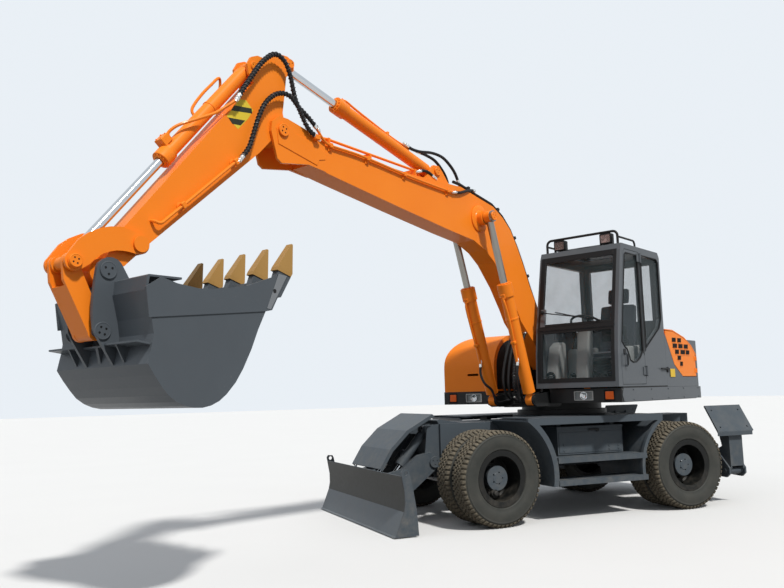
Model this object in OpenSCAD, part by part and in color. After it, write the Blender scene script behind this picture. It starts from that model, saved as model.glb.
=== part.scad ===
// Wheeled excavator with a one-piece boom, backhoe bucket, front blade and rear outriggers.
// Undercarriage: +X forward, +Y left, +Z up, ground at z = 0. The upper structure is turned about the slew axis.

/* [Wheels] */
// Radius of a tyre under load
tyre_r = 505; // [470:1:530]
// Width of one tyre
tyre_w = 256; // [220:1:270]
// Spacing of the two tyres of a twin wheel
twin_pitch = 310; // [290:1:330]
// Middle plane of a twin wheel from the machine's centre line
twin_y = 965; // [950:1:990]
// Radius of the rim's seat
rim_r = 254; // [235:1:265]
// Width between the rim's flanges
rim_w = 178; // [160:1:200]
// Radius of the planetary hub
hub_r = 130; // [110:1:145]
// Face of the hub cap from the middle plane of the twin wheel
hub_out = 176; // [150:1:190]
// Front axle ahead of the slew axis
front_x = 1673; // [1560:1:1700]
// Rear axle behind the slew axis
rear_x = 905; // [850:1:950]
// Kingpins from the centre line
kingpin_y = 600; // [580:1:610]
// Steering angle at rest, to the left
steer_deg = 5; // [0:0.1:20]

/* [Chassis] */
// Half width of the chassis box
chassis_hw = 400; // [360:1:420]
// Top of the chassis box
chassis_top = 1070; // [1040:1:1085]
// Depth of the chassis box
chassis_h = 300; // [260:1:320]
// Front end of the chassis box
chassis_front = 1930; // [1880:1:1940]
// Rear end of the chassis box
chassis_rear = 1560; // [1540:1:1570]
// Outer edge of the side steps
step_y = 1220; // [1150:1:1230]
// Radius of the front wheel arch of the step frame
arch_front_r = 705; // [700:1:720]
// Radius of the rear wheel arch of the step frame
arch_rear_r = 640; // [600:1:680]
// Top of the step frame
deck_z = 1120; // [1090:1:1135]
// Thickness of the step frame's plates
step_t = 14; // [8:1:20]

/* [Blade] */
// Half width of the blade
blade_hw = 1219; // [1100:1:1250]
// Thickness of the mouldboard
blade_t = 18; // [12:1:24]
// Blade pivot ahead of the slew axis
blade_piv_x = 2030; // [2010:1:2050]
// Height of the blade pivot
blade_piv_z = 650; // [630:1:670]
// Outer face of the blade's push arms
blade_arm_y = 430; // [410:1:440]
// Thickness of a push arm
blade_arm_t = 60; // [40:1:70]
// Half width of the arched cowl
cowl_hw = 455; // [440:1:480]
// Radius of a blade cylinder's barrel
blade_cyl_r = 52; // [40:1:55]

/* [Outriggers] */
// Pivot of an outrigger leg from the centre line
outr_y = 1075; // [1040:1:1100]
// Height of the outrigger pivot
outr_z = 385; // [360:1:420]
// Middle of the outrigger leg behind the slew axis
outr_x = 1725; // [1700:1:1760]
// Width of the outrigger leg
outr_w = 210; // [180:1:230]
// Length of the foot pad
pad_len = 570; // [500:1:620]

/* [Upper structure] */
// Turn of the upper structure to its left at rest
slew_deg = 26.5; // [0:0.1:45]
// Half width of the upper structure
upper_hw = 1230; // [1180:1:1250]
// Front face of the bumper
bumper_x = 851; // [830:1:860]
// Underside of the platform and its skirts
skirt_z = 1267; // [1255:1:1290]
// Height of the bumper and the skirts
skirt_h = 160; // [140:1:170]
// Rear end of the side skirts
skirt_rear = 1380; // [1340:1:1400]
// Tail swing radius
tail_r = 2150; // [2100:1:2200]
// Top of the counterweight and of the engine hood
hood_z = 2140; // [2080:1:2180]
// Wall of the sheet metal hoods
sheet_t = 14; // [8:1:20]

/* [Cab] */
// Inner side wall of the cab from the centre line
cab_in_y = 185; // [182:1:200]
// Wall thickness of the cab's posts and panels
cab_t = 55; // [45:1:65]
// Top of the cab roof
cab_top = 3090; // [3000:1:3120]
// Thickness of the glass
glass_t = 6; // [5:1:8]
// Rear edge of the door
door_rear = 170; // [150:1:190]
// Thickness of the door
door_t = 40; // [32:1:48]

/* [Boom] */
// Boom foot pin ahead of the slew axis
foot_x = 400; // [380:1:430]
// Height of the boom foot pin
foot_z = 1780; // [1760:1:1800]
// Half width of the boom box
boom_hw = 120; // [110:1:124]
// Thickness of the boom's plates
boom_t = 12; // [8:1:16]
// Radius of the large pins
pin_r = 40; // [34:1:44]
// Arm pivot ahead of the slew axis
nose_x = 4800; // [4780:1:4820]
// Height of the arm pivot
nose_z = 3690; // [3680:1:3700]
// Boom cylinders from the centre line
boom_cyl_y = 255; // [245:1:262]
// Radius of a boom cylinder's barrel
boom_cyl_r = 72; // [64:1:76]
// Radius of a boom cylinder's rod
boom_rod_r = 40; // [34:1:44]

/* [Arm and bucket] */
// Half width of the arm box
arm_hw = 100; // [90:1:106]
// Radius of the arm cylinder's barrel
arm_cyl_r = 66; // [56:1:70]
// Radius of the bucket cylinder's barrel
bucket_cyl_r = 58; // [50:1:62]
// Half width of the bucket
bucket_hw = 615; // [560:1:640]
// Thickness of the bucket's shell
bucket_t = 22; // [16:1:26]
// Number of teeth
teeth = 5; // [3:1:6]

/* [Hidden] */

$fn = 48;
slate = "#4b545c";
orange = "#f26a1b";
black = "#1b1c1e";
steel = "#b9bcc0";
rubber = "#262524";
lit = "#d8dde0";

// Clearance of a piece from the seat that it rests on
seat = 0.3;
// Clearance of a moving piece beside its ears
play = 6;
// The origin is the middle of the machine's plan
mid_x = 1958;
mid_y = 783;
axle_z = tyre_r;
outer_y = twin_y + twin_pitch / 2;
inner_y = twin_y - twin_pitch / 2;

// Moves what is modelled about the slew axis into the part's frame
module at_origin() { translate([-mid_x, -mid_y, 0]) children(); }
// Turns what is modelled in the upper structure's own directions
module upper() { at_origin() rotate([0, 0, slew_deg]) children(); }
// Extrudes a side view, drawn in x and z, from y0 to y1
module side(y0, y1) { translate([0, y1, 0]) rotate([90, 0, 0]) linear_extrude(y1 - y0) children(); }
// Round bar across the machine from y0 to y1
module cross_pin(p, r, y0, y1) { translate([p[0], y1, p[1]]) rotate([90, 0, 0]) cylinder(r = r, h = y1 - y0); }
// Box from its lowest to its highest corner
module block(a, b) { translate(a) cube(b - a); }
// Copies on both sides of the centre plane
module both() { children(); mirror([0, 1, 0]) children(); }
// Bar from point a to point b in a side view, with radius r
module bar(a, b, r) {
  v = b - a;
  translate([a[0], 0, a[1]]) rotate([0, 90 - atan2(v[1], v[0]), 0]) cylinder(r = r, h = norm(v));
}
function along(a, b, d) = a + (b - a) * d / norm(b - a);
// Outline moved inwards by d, corner by corner, for outlines that run anticlockwise
function inset(p, d) = [for (i = [0 : len(p) - 1])
  let (n = len(p), a = p[(i + n - 1) % n], b = p[i], c = p[(i + 1) % n],
    u = (b - a) / norm(b - a), v = (c - b) / norm(c - b),
    k = 1 + u * v)
  b + d * [-u[1] - v[1], u[0] + v[0]] / k];
// Closed box made of two side plates and a flange all round, drawn in a side view
module plate_box(outline, hw, t) {
  side(-hw, -hw + t) polygon(outline);
  side(hw - t, hw) polygon(outline);
  side(-hw + t, hw - t) difference() { polygon(outline); polygon(inset(outline, t)); }
}

// Wheels
module tyre_shape() {
  bead = rim_w / 2 - 5;
  rotate_extrude($fn = 64) polygon([
    [rim_r + seat, -bead], [rim_r + 46, -bead], [rim_r + 110, -tyre_w / 2], [tyre_r - 70, -tyre_w / 2 + 4],
    [tyre_r - 22, -tyre_w / 2 + 26], [tyre_r - 6, -tyre_w / 2 + 44], [tyre_r, -tyre_w / 4],
    [tyre_r, tyre_w / 4], [tyre_r - 6, tyre_w / 2 - 44], [tyre_r - 22, tyre_w / 2 - 26],
    [tyre_r - 70, tyre_w / 2 - 4], [rim_r + 110, tyre_w / 2], [rim_r + 46, bead], [rim_r + seat, bead]]);
}
// Two deep-dished rims on one hub, with the axis along z and the outside at +z
module rim_shape() {
  half = twin_pitch / 2;
  w = rim_w / 2;
  flange = 42;
  t = 8;
  color(black) rotate_extrude($fn = 64) {
    for (s = [-1, 1]) polygon([
      [rim_r + flange, s * (half + w + 12)], [rim_r + flange, s * (half + w + 4)], [rim_r + 6, s * (half + w)],
      [rim_r, s * (half + w - 4)], [rim_r, s * (half - w)], [rim_r + 26, s * (half - w - 2)],
      [rim_r + 26, s * (half - w - 12)], [rim_r - 10, s * (half - w - 4)], [rim_r - 34, 0],
      [hub_r - 10, 0], [hub_r - 10, s * 10], [rim_r - 44, s * 10], [rim_r - 16, s * (half - w + 20)],
      [rim_r - 12, s * (half + w - 12)], [rim_r + 28, s * (half + w + 12)]]);
  }
  color(slate) {
    translate([0, 0, -60]) cylinder(r = hub_r, h = hub_out + 60 - 8);
    translate([0, 0, hub_out - 8]) cylinder(r = hub_r - 8, h = 8);
    for (k = [0 : 4]) rotate([0, 0, 72 * k + 20]) translate([hub_r - 42, 0, hub_out])
      cylinder(r = 11, h = 5, $fn = 6);
  }
}
// Places a wheel with its outside away from the centre line; side_sign is +1 on the left
module wheel_at(x, side_sign, turn) {
  at_origin() translate([x, side_sign * (turn == undef ? 0 : kingpin_y), axle_z])
    rotate([0, 0, turn == undef ? 0 : turn])
      translate([0, side_sign * (twin_y - (turn == undef ? 0 : kingpin_y)), 0])
        rotate([-90 * side_sign, 0, 0]) children();
}
module tyre_pair() { color(rubber) for (s = [-1, 1]) translate([0, 0, s * twin_pitch / 2]) tyre_shape(); }

// Undercarriage
module chassis_frame() {
  low = chassis_top - chassis_h;
  t = 16;
  color(slate) at_origin() {
    // Box of the main frame, with a step down behind the front axle
    difference() {
      block([-chassis_rear, -chassis_hw, low], [chassis_front, chassis_hw, chassis_top]);
      block([-chassis_rear + t, -chassis_hw + t, low + t], [chassis_front - t, chassis_hw - t, chassis_top - t]);
      cylinder(r = 330, h = 2 * chassis_top);
    }
    // Slew bearing seat
    difference() {
      translate([0, 0, chassis_top]) cylinder(r = ring_seat_r, h = deck_z - chassis_top, $fn = 72);
      translate([0, 0, low]) cylinder(r = 330, h = 2 * chassis_h);
    }
    // Axle brackets with the bore of the oscillation pin
    for (x = [front_x - 150, front_x + 110]) difference() {
      block([x, -170, axle_z + 132], [x + 40, 170, low]);
      translate([x - 1, 0, axle_z + swing_pin_z]) rotate([0, 90, 0]) cylinder(r = 45 + seat, h = 42);
    }
    for (s = [-1, 1]) block([-rear_x - 90, s * 330 - 50, axle_z + 90 + seat], [-rear_x + 90, s * 330 + 50, low]);
    // Nose hump in front of the box and the blade brackets
    side(-chassis_hw + 40, chassis_hw - 40) polygon([[chassis_front - 300, chassis_top], [chassis_front, chassis_top],
      [chassis_front + 20, chassis_top + 40], [chassis_front - 10, chassis_top + 50]]);
    both() {
      difference() {
        side(blade_arm_y - blade_arm_t - play - 22, blade_arm_y - blade_arm_t - play) polygon([
          [chassis_front - 200, low + 10], [chassis_front - 60, blade_piv_z - 90], [blade_piv_x + 40, blade_piv_z - 85],
          [blade_piv_x + 90, blade_piv_z + 30], [blade_piv_x + 50, chassis_top - 20], [chassis_front - 20, chassis_top]]);
        cross_pin([blade_piv_x, blade_piv_z], pin_r - 8 + seat, 0, chassis_hw);
      }
      // Pair of ears for a blade cylinder
      for (y = [blade_cyl_y - 62, blade_cyl_y + 44]) side(y, y + 18) {
        translate(blade_cyl_top) circle(r = 55);
        polygon([[chassis_front - 2, chassis_top - 130], blade_cyl_top + [10, -54], blade_cyl_top + [-10, 54],
          [chassis_front - 2, chassis_top - 2]]);
      }
      cross_pin(blade_cyl_top, 26, blade_cyl_y - 66, blade_cyl_y + 66);
    }
    block([chassis_front - t, -chassis_hw, blade_piv_z + 60], [chassis_front, chassis_hw, low]);
    // Rear cross-beam that carries the outriggers
    difference() {
      union() {
        block([-outr_x - 150, -outr_y + 150, outr_z - 60], [-outr_x + 165, outr_y - 150, outr_z + 190]);
        block([-outr_x - 150, -outr_base_y + 60, outr_z - 60], [-outr_x + 165, outr_base_y - 60, chassis_top]);
      }
      both() block([-outr_x - 138, outr_base_y - 48, outr_z - 48], [-outr_x + 153, outr_y, outr_z + 191]);
      block([-outr_x - 138, -outr_base_y + 72, outr_z - 48], [-outr_x + 153, outr_base_y - 72, chassis_top - 12]);
    }
    both() {
      // Fork plates that hold the leg's pin
      for (x = [-outr_x - outr_w / 2 - play - 25, -outr_x + outr_w / 2 + play]) difference() {
        translate([x, 0, 0]) rotate([90, 0, 90]) linear_extrude(25) polygon([[outr_y - 240, outr_z - 60],
          [outr_y + 20, outr_z - 75], [outr_y + 75, outr_z - 30], [outr_y + 75, outr_z + 40], [outr_y - 60, outr_z + 190],
          [outr_y - 240, outr_z + 190]]);
        translate([x - 1, outr_y, outr_z]) rotate([0, 90, 0]) cylinder(r = 30 + seat, h = 27);
      }
      // Ears for the outrigger cylinder
      for (x = [-outr_x - 62, -outr_x + 42]) translate([x, 0, 0]) rotate([90, 0, 90]) linear_extrude(20) {
        polygon([[outr_base_y - 61, outr_base_z - 120], outr_base + [20, -40], outr_base + [20, 40],
          [outr_base_y - 61, outr_base_z + 120]]);
        translate(outr_base) circle(r = 44);
      }
      translate([-outr_x - 66, outr_base_y, outr_base_z]) rotate([0, 90, 0]) cylinder(r = 24, h = 132);
    }
    // Tow pin bracket at the rear
    difference() {
      block([-outr_x - 240, -70, outr_z - 20], [-outr_x - 149, 70, outr_z + 90]);
      block([-outr_x - 241, -71, outr_z + 12], [-outr_x - 170, 71, outr_z + 58]);
      translate([-outr_x - 205, 0, outr_z - 60]) cylinder(r = tow_r, h = 200);
    }
  }
}
ring_seat_r = 620;
tow_r = 20;
// Height of the front axle's oscillation pin above the axle
swing_pin_z = 190;
blade_cyl_y = 215;
blade_cyl_top = [2045, 1000];
blade_cyl_low = [2490, 460];
outr_base_y = 255;
outr_base_z = 860;

module front_axle() {
  color(slate) at_origin() translate([front_x, 0, axle_z]) {
    sphere(r = 165);
    both() {
      translate([0, 500, 0]) rotate([90, 0, 0]) cylinder(r = 78, h = 420);
      difference() {
        union() {
          translate([0, 430, 0]) rotate([-90, 0, 0]) cylinder(r = 88, h = kingpin_y - 430);
          translate([0, kingpin_y, -85]) cylinder(r = 76, h = 170);
        }
        translate([0, kingpin_y, -90]) cylinder(r = 32 + seat, h = 180);
      }
    }
    // Oscillation pin under the chassis brackets and the pinion housing
    translate([-109, 0, swing_pin_z]) rotate([0, 90, 0]) cylinder(r = 68, h = 218);
    translate([-165, 0, swing_pin_z]) rotate([0, 90, 0]) cylinder(r = 45, h = 330);
    translate([-300, 0, 0]) rotate([0, 90, 0]) cylinder(r = 70, h = 200);
    translate([-rear_gap_x, 0, 0]) rotate([0, 90, 0]) cylinder(r = 38, h = rear_gap_x - 300);
  }
}
rear_gap_x = 1190;

module rear_axle() {
  color(slate) at_origin() translate([-rear_x, 0, axle_z]) {
    sphere(r = 180);
    both() {
      translate([0, 780, 0]) rotate([90, 0, 0]) cylinder(r = 90, h = 700);
      translate([0, 780, 0]) rotate([-90, 0, 0]) cylinder(r = 100, h = twin_y - 60 - 780 - seat);
    }
    for (s = [-1, 1]) block([-85, s * 330 - 45, 0], [85, s * 330 + 45, 90]);
    translate([100, 0, 0]) rotate([0, 90, 0]) cylinder(r = 80, h = 260);
    translate([360, 0, 0]) rotate([0, 90, 0]) cylinder(r = 38, h = front_x + rear_x - rear_gap_x - 360);
  }
}

module knuckle() {
  color(slate) {
    translate([0, 0, -128]) cylinder(r = 32, h = 256);
    for (z = [-128, 88]) {
      translate([0, 0, z]) cylinder(r = 68, h = 40);
      block([-60, 0, z], [60, 92, z + 40]);
    }
    block([-85, 82, -128], [85, 100, 128]);
    translate([0, 100, 0]) rotate([-90, 0, 0]) cylinder(r = 100, h = twin_y - kingpin_y - 60 - 100 - seat);
    // Steering arm, held to the lower lug
    translate([0, 0, -128]) difference() {
      union() {
        block([40, -28, 0], [steer_arm, 28, 36]);
        translate([steer_arm, 0, 0]) cylinder(r = 34, h = 36);
      }
      translate([steer_arm, 0, -1]) cylinder(r = 14 + seat, h = 40);
    }
  }
}
steer_arm = 240;
module knuckle_at(s) {
  at_origin() translate([front_x, s * kingpin_y, axle_z]) rotate([0, 0, steer_deg]) mirror([0, s < 0 ? 1 : 0, 0])
    knuckle();
}
module knuckle_left() { knuckle_at(1); }
module knuckle_right() { knuckle_at(-1); }
module tie_rod() {
  x = front_x + steer_arm * cos(steer_deg);
  y = steer_arm * sin(steer_deg);
  color(steel) at_origin() translate([x, y, axle_z]) {
    for (s = [-1, 1]) translate([0, s * kingpin_y, 0]) {
      translate([0, 0, -152]) cylinder(r = 14, h = 62);
      translate([0, 0, -92 + seat]) cylinder(r = 26, h = 40);
    }
    translate([0, kingpin_y, -70]) rotate([90, 0, 0]) cylinder(r = 20, h = 2 * kingpin_y);
  }
}

module tyres_front_left() { wheel_at(front_x, 1, steer_deg) tyre_pair(); }
module tyres_front_right() { wheel_at(front_x, -1, steer_deg) tyre_pair(); }
module tyres_rear_left() { wheel_at(-rear_x, 1) tyre_pair(); }
module tyres_rear_right() { wheel_at(-rear_x, -1) tyre_pair(); }
module wheel_front_left() { wheel_at(front_x, 1, steer_deg) rim_shape(); }
module wheel_front_right() { wheel_at(front_x, -1, steer_deg) rim_shape(); }
module wheel_rear_left() { wheel_at(-rear_x, 1) rim_shape(); }
module wheel_rear_right() { wheel_at(-rear_x, -1) rim_shape(); }

// Side view of the step frame: what lies between the two wheel arches
module step_frame_2d() {
  difference() {
    translate([-560, 378]) square([1830, deck_z - 378]);
    translate([front_x, axle_z]) circle(r = arch_front_r, $fn = 72);
    translate([-rear_x, axle_z]) circle(r = arch_rear_r, $fn = 72);
  }
}
module step_window_2d() {
  difference() {
    translate([-560, 377]) square([1830, deck_z - 378 - 75]);
    translate([front_x, axle_z]) circle(r = arch_front_r + 62, $fn = 72);
    translate([-rear_x, axle_z]) circle(r = arch_rear_r + 40, $fn = 72);
  }
}
module side_steps() {
  color(slate) at_origin() both() {
    // Outer frame, then the steps and the deck between it and the chassis
    side(step_y - 40, step_y) difference() { step_frame_2d(); step_window_2d(); }
    for (z = [378, 622]) {
      block([-300, step_y - 330, z + 45], [905, step_y, z + 45 + step_t]);
      block([-300, step_y - step_t, z], [905, step_y, z + 45]);
    }
    // Wheel arch webs that carry the steps on the chassis
    for (a = [[front_x, arch_front_r, 1], [-rear_x, arch_rear_r, -1]])
      side(chassis_hw + seat, step_y) intersection() {
        difference() {
          translate([a[0], axle_z]) circle(r = a[1] + step_t, $fn = 72);
          translate([a[0], axle_z]) circle(r = a[1], $fn = 72);
        }
        translate([-560, 378]) square([1830, deck_z - 378 - 10]);
      }
    difference() {
      block([-460, chassis_hw + seat, deck_z - step_t], [1180, step_y, deck_z]);
      cylinder(r = ring_seat_r + seat, h = 2 * deck_z, $fn = 72);
    }
  }
}
module tool_boxes() {
  color(slate) at_origin() both() {
    difference() {
      block([-140, 560, 690], [760, 1000, 1000]);
      block([-126, 574, 704], [746, 986, 986]);
    }
    block([-100, 700, 1000], [-40, 900, deck_z - step_t - seat]);
    block([640, 700, 1000], [700, 900, deck_z - step_t - seat]);
    block([200, 1000, 950], [330, 1014, 975]);
  }
}
module slew_ring() {
  color(black) at_origin() difference() {
    translate([0, 0, deck_z + seat]) cylinder(r = 560, h = 60, $fn = 72);
    translate([0, 0, deck_z - 1]) cylinder(r = 430, h = 70, $fn = 72);
  }
}

// Blade, its cowl and its two cylinders
blade_face = [[2866, 8], [2842, 20], [2752, 250], [2738, 330], [2738, 430], [2770, 600]];
function shift_x(p, d) = [for (q = p) q + [d, 0]];
function reversed(p) = [for (i = [len(p) - 1 : -1 : 0]) p[i]];
module blade() {
  back = reversed(shift_x(blade_face, -blade_t));
  color(slate) at_origin() {
    side(-blade_hw + 16, blade_hw - 16) polygon(concat(blade_face, back));
    both() {
      // End plate with its lifting lug
      side(blade_hw - 16, blade_hw) difference() {
        polygon([[2866, 8], [2842, 20], [2752, 250], [2738, 330], [2740, 440], [2776, 640], [2760, 668], [2700, 664],
          [2684, 630], [2646, 442], [2614, 252], [2598, 12]]);
        translate([2728, 630]) circle(r = lug_r);
      }
      // Push arm
      difference() {
        side(blade_arm_y - blade_arm_t, blade_arm_y) polygon([[blade_piv_x - 40, blade_piv_z - 62],
          [2275, 367], [2700, 120], [2794 - blade_t, 138], [2752 - blade_t, 250], [2738 - blade_t, 330],
          [2738 - blade_t, 430], [2754 - blade_t, 520], [2420, 595], [2228, 735], [blade_piv_x + 30, 762],
          [blade_piv_x - 55, 735], [blade_piv_x - 75, blade_piv_z]]);
        cross_pin([blade_piv_x, blade_piv_z], pin_r - 8, 0, blade_hw);
      }
      cross_pin([blade_piv_x, blade_piv_z], pin_r - 8, blade_arm_y - blade_arm_t - play - 22 - 8, blade_arm_y + 8);
      // Ears for a cylinder's rod
      for (y = [blade_cyl_y - 56, blade_cyl_y + 38]) side(y, y + 18) difference() {
        polygon([blade_cyl_low + [-46, -20], blade_cyl_low + [-10, -60], [2738 - blade_t, 330], [2738 - blade_t, 430],
          blade_cyl_low + [30, 46], blade_cyl_low + [-30, 46]]);
        translate(blade_cyl_low) circle(r = 24);
      }
      cross_pin(blade_cyl_low, 24, blade_cyl_y - 60, blade_cyl_y + 60);
    }
    // Torsion box between the push arms
    difference() {
      side(-blade_arm_y + blade_arm_t, blade_arm_y - blade_arm_t) polygon([[2560, 250], [2752 - blade_t, 250],
        [2738 - blade_t, 330], [2738 - blade_t, 400], [2560, 400]]);
      side(-blade_arm_y + blade_arm_t + 10, blade_arm_y - blade_arm_t - 10) polygon([[2572, 262], [2690, 262],
        [2690, 388], [2572, 388]]);
    }
  }
}
lug_r = 22;
cowl_line = [[2050, 1186], [2370, 1014], [2575, 816], [2702, 612]];
module cowl() {
  skin = [for (q = cowl_line) q + [-7, -7]];
  color(slate) at_origin() {
    side(-cowl_hw, cowl_hw) polygon(concat(cowl_line, reversed(skin)));
    both() {
      side(cowl_hw - 8, cowl_hw) polygon(concat([for (q = cowl_line) q + [-3, -3]],
        reversed([for (q = cowl_line) q + [-30, -26]])));
      side(300, 312) polygon([[2640, 690], [2690, 610], [2706, 560], [2758 - blade_t - seat, 540],
        [2767 - blade_t - seat, 590], [2700, 605], [2660, 680]]);
    }
  }
}
// Cylinder barrel from pin a towards pin b, of length len, with an eye at a and a gland at its front end
module barrel(a, b, len, r, eye_r, eye_w, bore) {
  v = (b - a) / norm(b - a);
  difference() {
    union() {
      cross_pin(a, eye_r, -eye_w / 2, eye_w / 2);
      bar(along(a, b, eye_r * 0.7), along(a, b, eye_r * 1.5 + 5), min(r, eye_w / 2) * 0.9);
      bar(along(a, b, eye_r * 1.5), along(a, b, len - 2 * r), r);
      bar(along(a, b, len - 2 * r), along(a, b, len), r * 1.2);
    }
    cross_pin(a, bore + seat, -eye_w, eye_w);
    bar(along(a, b, eye_r * 1.5 + 20), along(a, b, len + 1), r * 0.8);
  }
}
// Rod that slides in the barrel, with an eye at b
module rod(a, b, len, r, eye_r, eye_w, bore) {
  difference() {
    union() {
      color(steel) bar(along(a, b, len), along(a, b, norm(b - a) - eye_r * 0.6), r);
      cross_pin(b, eye_r, -eye_w / 2, eye_w / 2);
    }
    cross_pin(b, bore, -eye_w, eye_w);
  }
}
module gland(a, b, len, r, rod_r) {
  difference() {
    bar(along(a, b, len - 40), along(a, b, len), r * 0.8 + 2);
    bar(along(a, b, len - 60), along(a, b, len + 20), rod_r + seat);
  }
}
module cylinder_barrel(a, b, len, r, rod_r, eye_r, eye_w, bore) {
  barrel(a, b, len, r, eye_r, eye_w, bore);
  gland(a, b, len, r, rod_r);
}
module blade_barrels() {
  color(slate) at_origin() for (s = [-1, 1]) translate([0, s * blade_cyl_y, 0])
    cylinder_barrel(blade_cyl_top, blade_cyl_low, 500, blade_cyl_r, 28, 44, 76, 26);
}
module blade_rods() {
  at_origin() for (s = [-1, 1]) translate([0, s * blade_cyl_y, 0])
    rod(blade_cyl_top, blade_cyl_low, 300, 28, 42, 64, 26 + play);
}

// Outriggers, drawn for the left side and stowed upright
pad_in = [-105, 780];
pad_out = [85, 475];
outr_eye = [-125, 216];
outr_base = [outr_base_y, outr_base_z];
// Extrudes a rear view, drawn in y and z, from x0 to x1
module rear(x0, x1) { translate([x0, 0, 0]) rotate([90, 0, 90]) linear_extrude(x1 - x0) children(); }
module outrigger() {
  w = outr_w / 2;
  color(slate) translate([-outr_x, outr_y, outr_z]) {
    for (x = [-w, w - 16]) rear(x, x + 16) difference() {
      union() {
        polygon([[-40, 0], [40, -20], [75, 30], [75, 485], [62, 500], [-80, 728], [-80, 420], [-50, 300],
          outr_eye + [-34, 24], outr_eye + [-44, -10], outr_eye + [-10, -40]]);
        circle(r = 42);
      }
      circle(r = 30);
    }
    rear(-w + 16, w - 16) polygon([[61, 60], [75, 60], [75, 485], [61, 500]]);
    rotate([0, 90, 0]) translate([0, 0, -w - play - 33]) cylinder(r = 30, h = 2 * w + 2 * play + 66);
    rotate([0, 90, 0]) translate([0, 0, -w]) cylinder(r = 42, h = 2 * w);
    translate([0, outr_eye[0], outr_eye[1]]) rotate([0, 90, 0]) for (z = [-w, 30 + play])
      translate([0, 0, z]) cylinder(r = 22, h = w - 30 - play);
    // Foot pad with its turned-down rims
    translate([0, pad_in[0], pad_in[1]]) rotate([-58, 0, 0]) difference() {
      block([-pad_len / 2, -10, -10], [pad_len / 2, norm(pad_out - pad_in), 10]);
      for (x = [-1, 1], y = [60, norm(pad_out - pad_in) - 60]) translate([x * (pad_len / 2 - 70), y, -20])
        cylinder(r = 11, h = 40);
    }
  }
}
function outr_pin() = [outr_y, outr_z] + outr_eye;
// The cylinders are drawn in a side view and turned to the rear view
module rear_view() { translate([-outr_x, 0, 0]) rotate([0, 0, 90]) children(); }
module outrigger_left() { at_origin() outrigger(); }
module outrigger_right() { at_origin() mirror([0, 1, 0]) outrigger(); }
module outrigger_barrel() {
  color(slate) rear_view() cylinder_barrel(outr_base, outr_pin(), 590, 44, 24, 40, 70, 24);
}
module outrigger_rod() { rear_view() rod(outr_base, outr_pin(), 420, 24, 36, 60, 22 + play); }
module outrigger_barrel_left() { at_origin() outrigger_barrel(); }
module outrigger_barrel_right() { at_origin() mirror([0, 1, 0]) outrigger_barrel(); }
module outrigger_rod_left() { at_origin() outrigger_rod(); }
module outrigger_rod_right() { at_origin() mirror([0, 1, 0]) outrigger_rod(); }

// Upper structure
floor_z = skirt_z + 60;
sill_z = skirt_z + skirt_h + seat;
foot = [foot_x, foot_z];
cyl_base = [1160, 1315];
foot_hw = boom_hw;
module platform() {
  color(black) upper() {
    translate([0, 0, deck_z + 60 + 2 * seat]) cylinder(r = 500, h = skirt_z - deck_z - 60 - 2 * seat, $fn = 72);
    difference() {
      block([-1500, -upper_hw + 45, skirt_z], [bumper_x - 60 - seat, upper_hw - 45, floor_z]);
      block([-1480, -upper_hw + 65, skirt_z + 14], [bumper_x - 80, upper_hw - 65, floor_z - 14]);
    }
    // Rails under the hoods
    for (y = [-upper_hw + 50, upper_hw - 90]) block([-1480, y, floor_z - 2], [-500, y + 40, sill_z - seat]);
    for (y = [-upper_hw + 50, -upper_hw + 730]) block([-350, y, floor_z - 2], [bumper_x - 100, y + 40, sill_z - seat]);
    // Rubber mounts of the cab
    for (x = [-350, 700], y = [cab_in_y + 120, upper_hw - 180]) translate([x, y, floor_z])
      cylinder(r = 55, h = cab_z - floor_z - seat);
    // Ears of the boom foot and the base of the boom cylinders
    color(orange) both() {
      difference() {
        side(foot_hw + play, foot_hw + play + 32) union() {
          polygon([[-450, floor_z], [740, floor_z], [690, 1480], [foot_x + 95, foot_z + 40], [foot_x - 60, foot_z + 90],
            [foot_x - 110, foot_z + 20], [-200, 1560]]);
          translate(foot) circle(r = 105);
        }
        cross_pin(foot, pin_r + 8, 0, 400);
      }
      for (y = [boom_cyl_y - 62, boom_cyl_y + 42]) side(y, y + 20) difference() {
        union() {
          polygon([[560, floor_z], [560, skirt_z - 30], [1120, skirt_z - 30], cyl_base + [30, -50],
            cyl_base + [10, 55], [900, floor_z + 70], [700, floor_z + 90]]);
          translate(cyl_base) circle(r = 58);
        }
        translate(cyl_base) circle(r = pin_r);
      }
      cross_pin(cyl_base, pin_r, boom_cyl_y - 68, boom_cyl_y + 68);
    }
    cross_pin(foot, pin_r + 8, -foot_hw - play - 38, foot_hw + play + 38);
    block([560, -boom_cyl_y - 42, skirt_z - 40], [bumper_x + 30, boom_cyl_y + 42, skirt_z]);
  }
}
module counterweight() {
  color(slate) upper() difference() {
    intersection() {
      translate([0, 0, skirt_z + 20]) cylinder(r = tail_r, h = 760, $fn = 96);
      block([-tail_r, -upper_hw + 130, skirt_z + 20], [-1500 - seat, upper_hw - 130, skirt_z + 780]);
    }
    // Lifting eyes and the tow pin slot
    for (y = [-600, 600]) translate([-1700, y, skirt_z + 740]) cylinder(r = 40, h = 80);
    block([-tail_r - 10, -60, skirt_z + 100], [-tail_r + 90, 60, skirt_z + 180]);
    // Room for the lid's rear edge as it swings up
    block([-1550, -upper_hw, 1836], [-1499, upper_hw, 2100]);
  }
}
module engine_block() { color(black) upper() block([-1380, -430, floor_z + seat], [-640, 430, floor_z + 500]); }
hood_line = [[-1500, sill_z], [-470, sill_z], [-470, hood_z], [-720, hood_z], [-1100, hood_z - 80],
  [-1330, hood_z - 180], [-1500, hood_z - 320]];
slots = [
  // x, z and width of a louvre
  [-700, 1990, 95], [-715, 1915, 110], [-780, 1840, 95], [-850, 1765, 80], [-920, 1690, 60],
  [-880, 1990, 90], [-900, 1915, 110], [-960, 1840, 120], [-1080, 1915, 110], [-1140, 1840, 90]];
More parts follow.
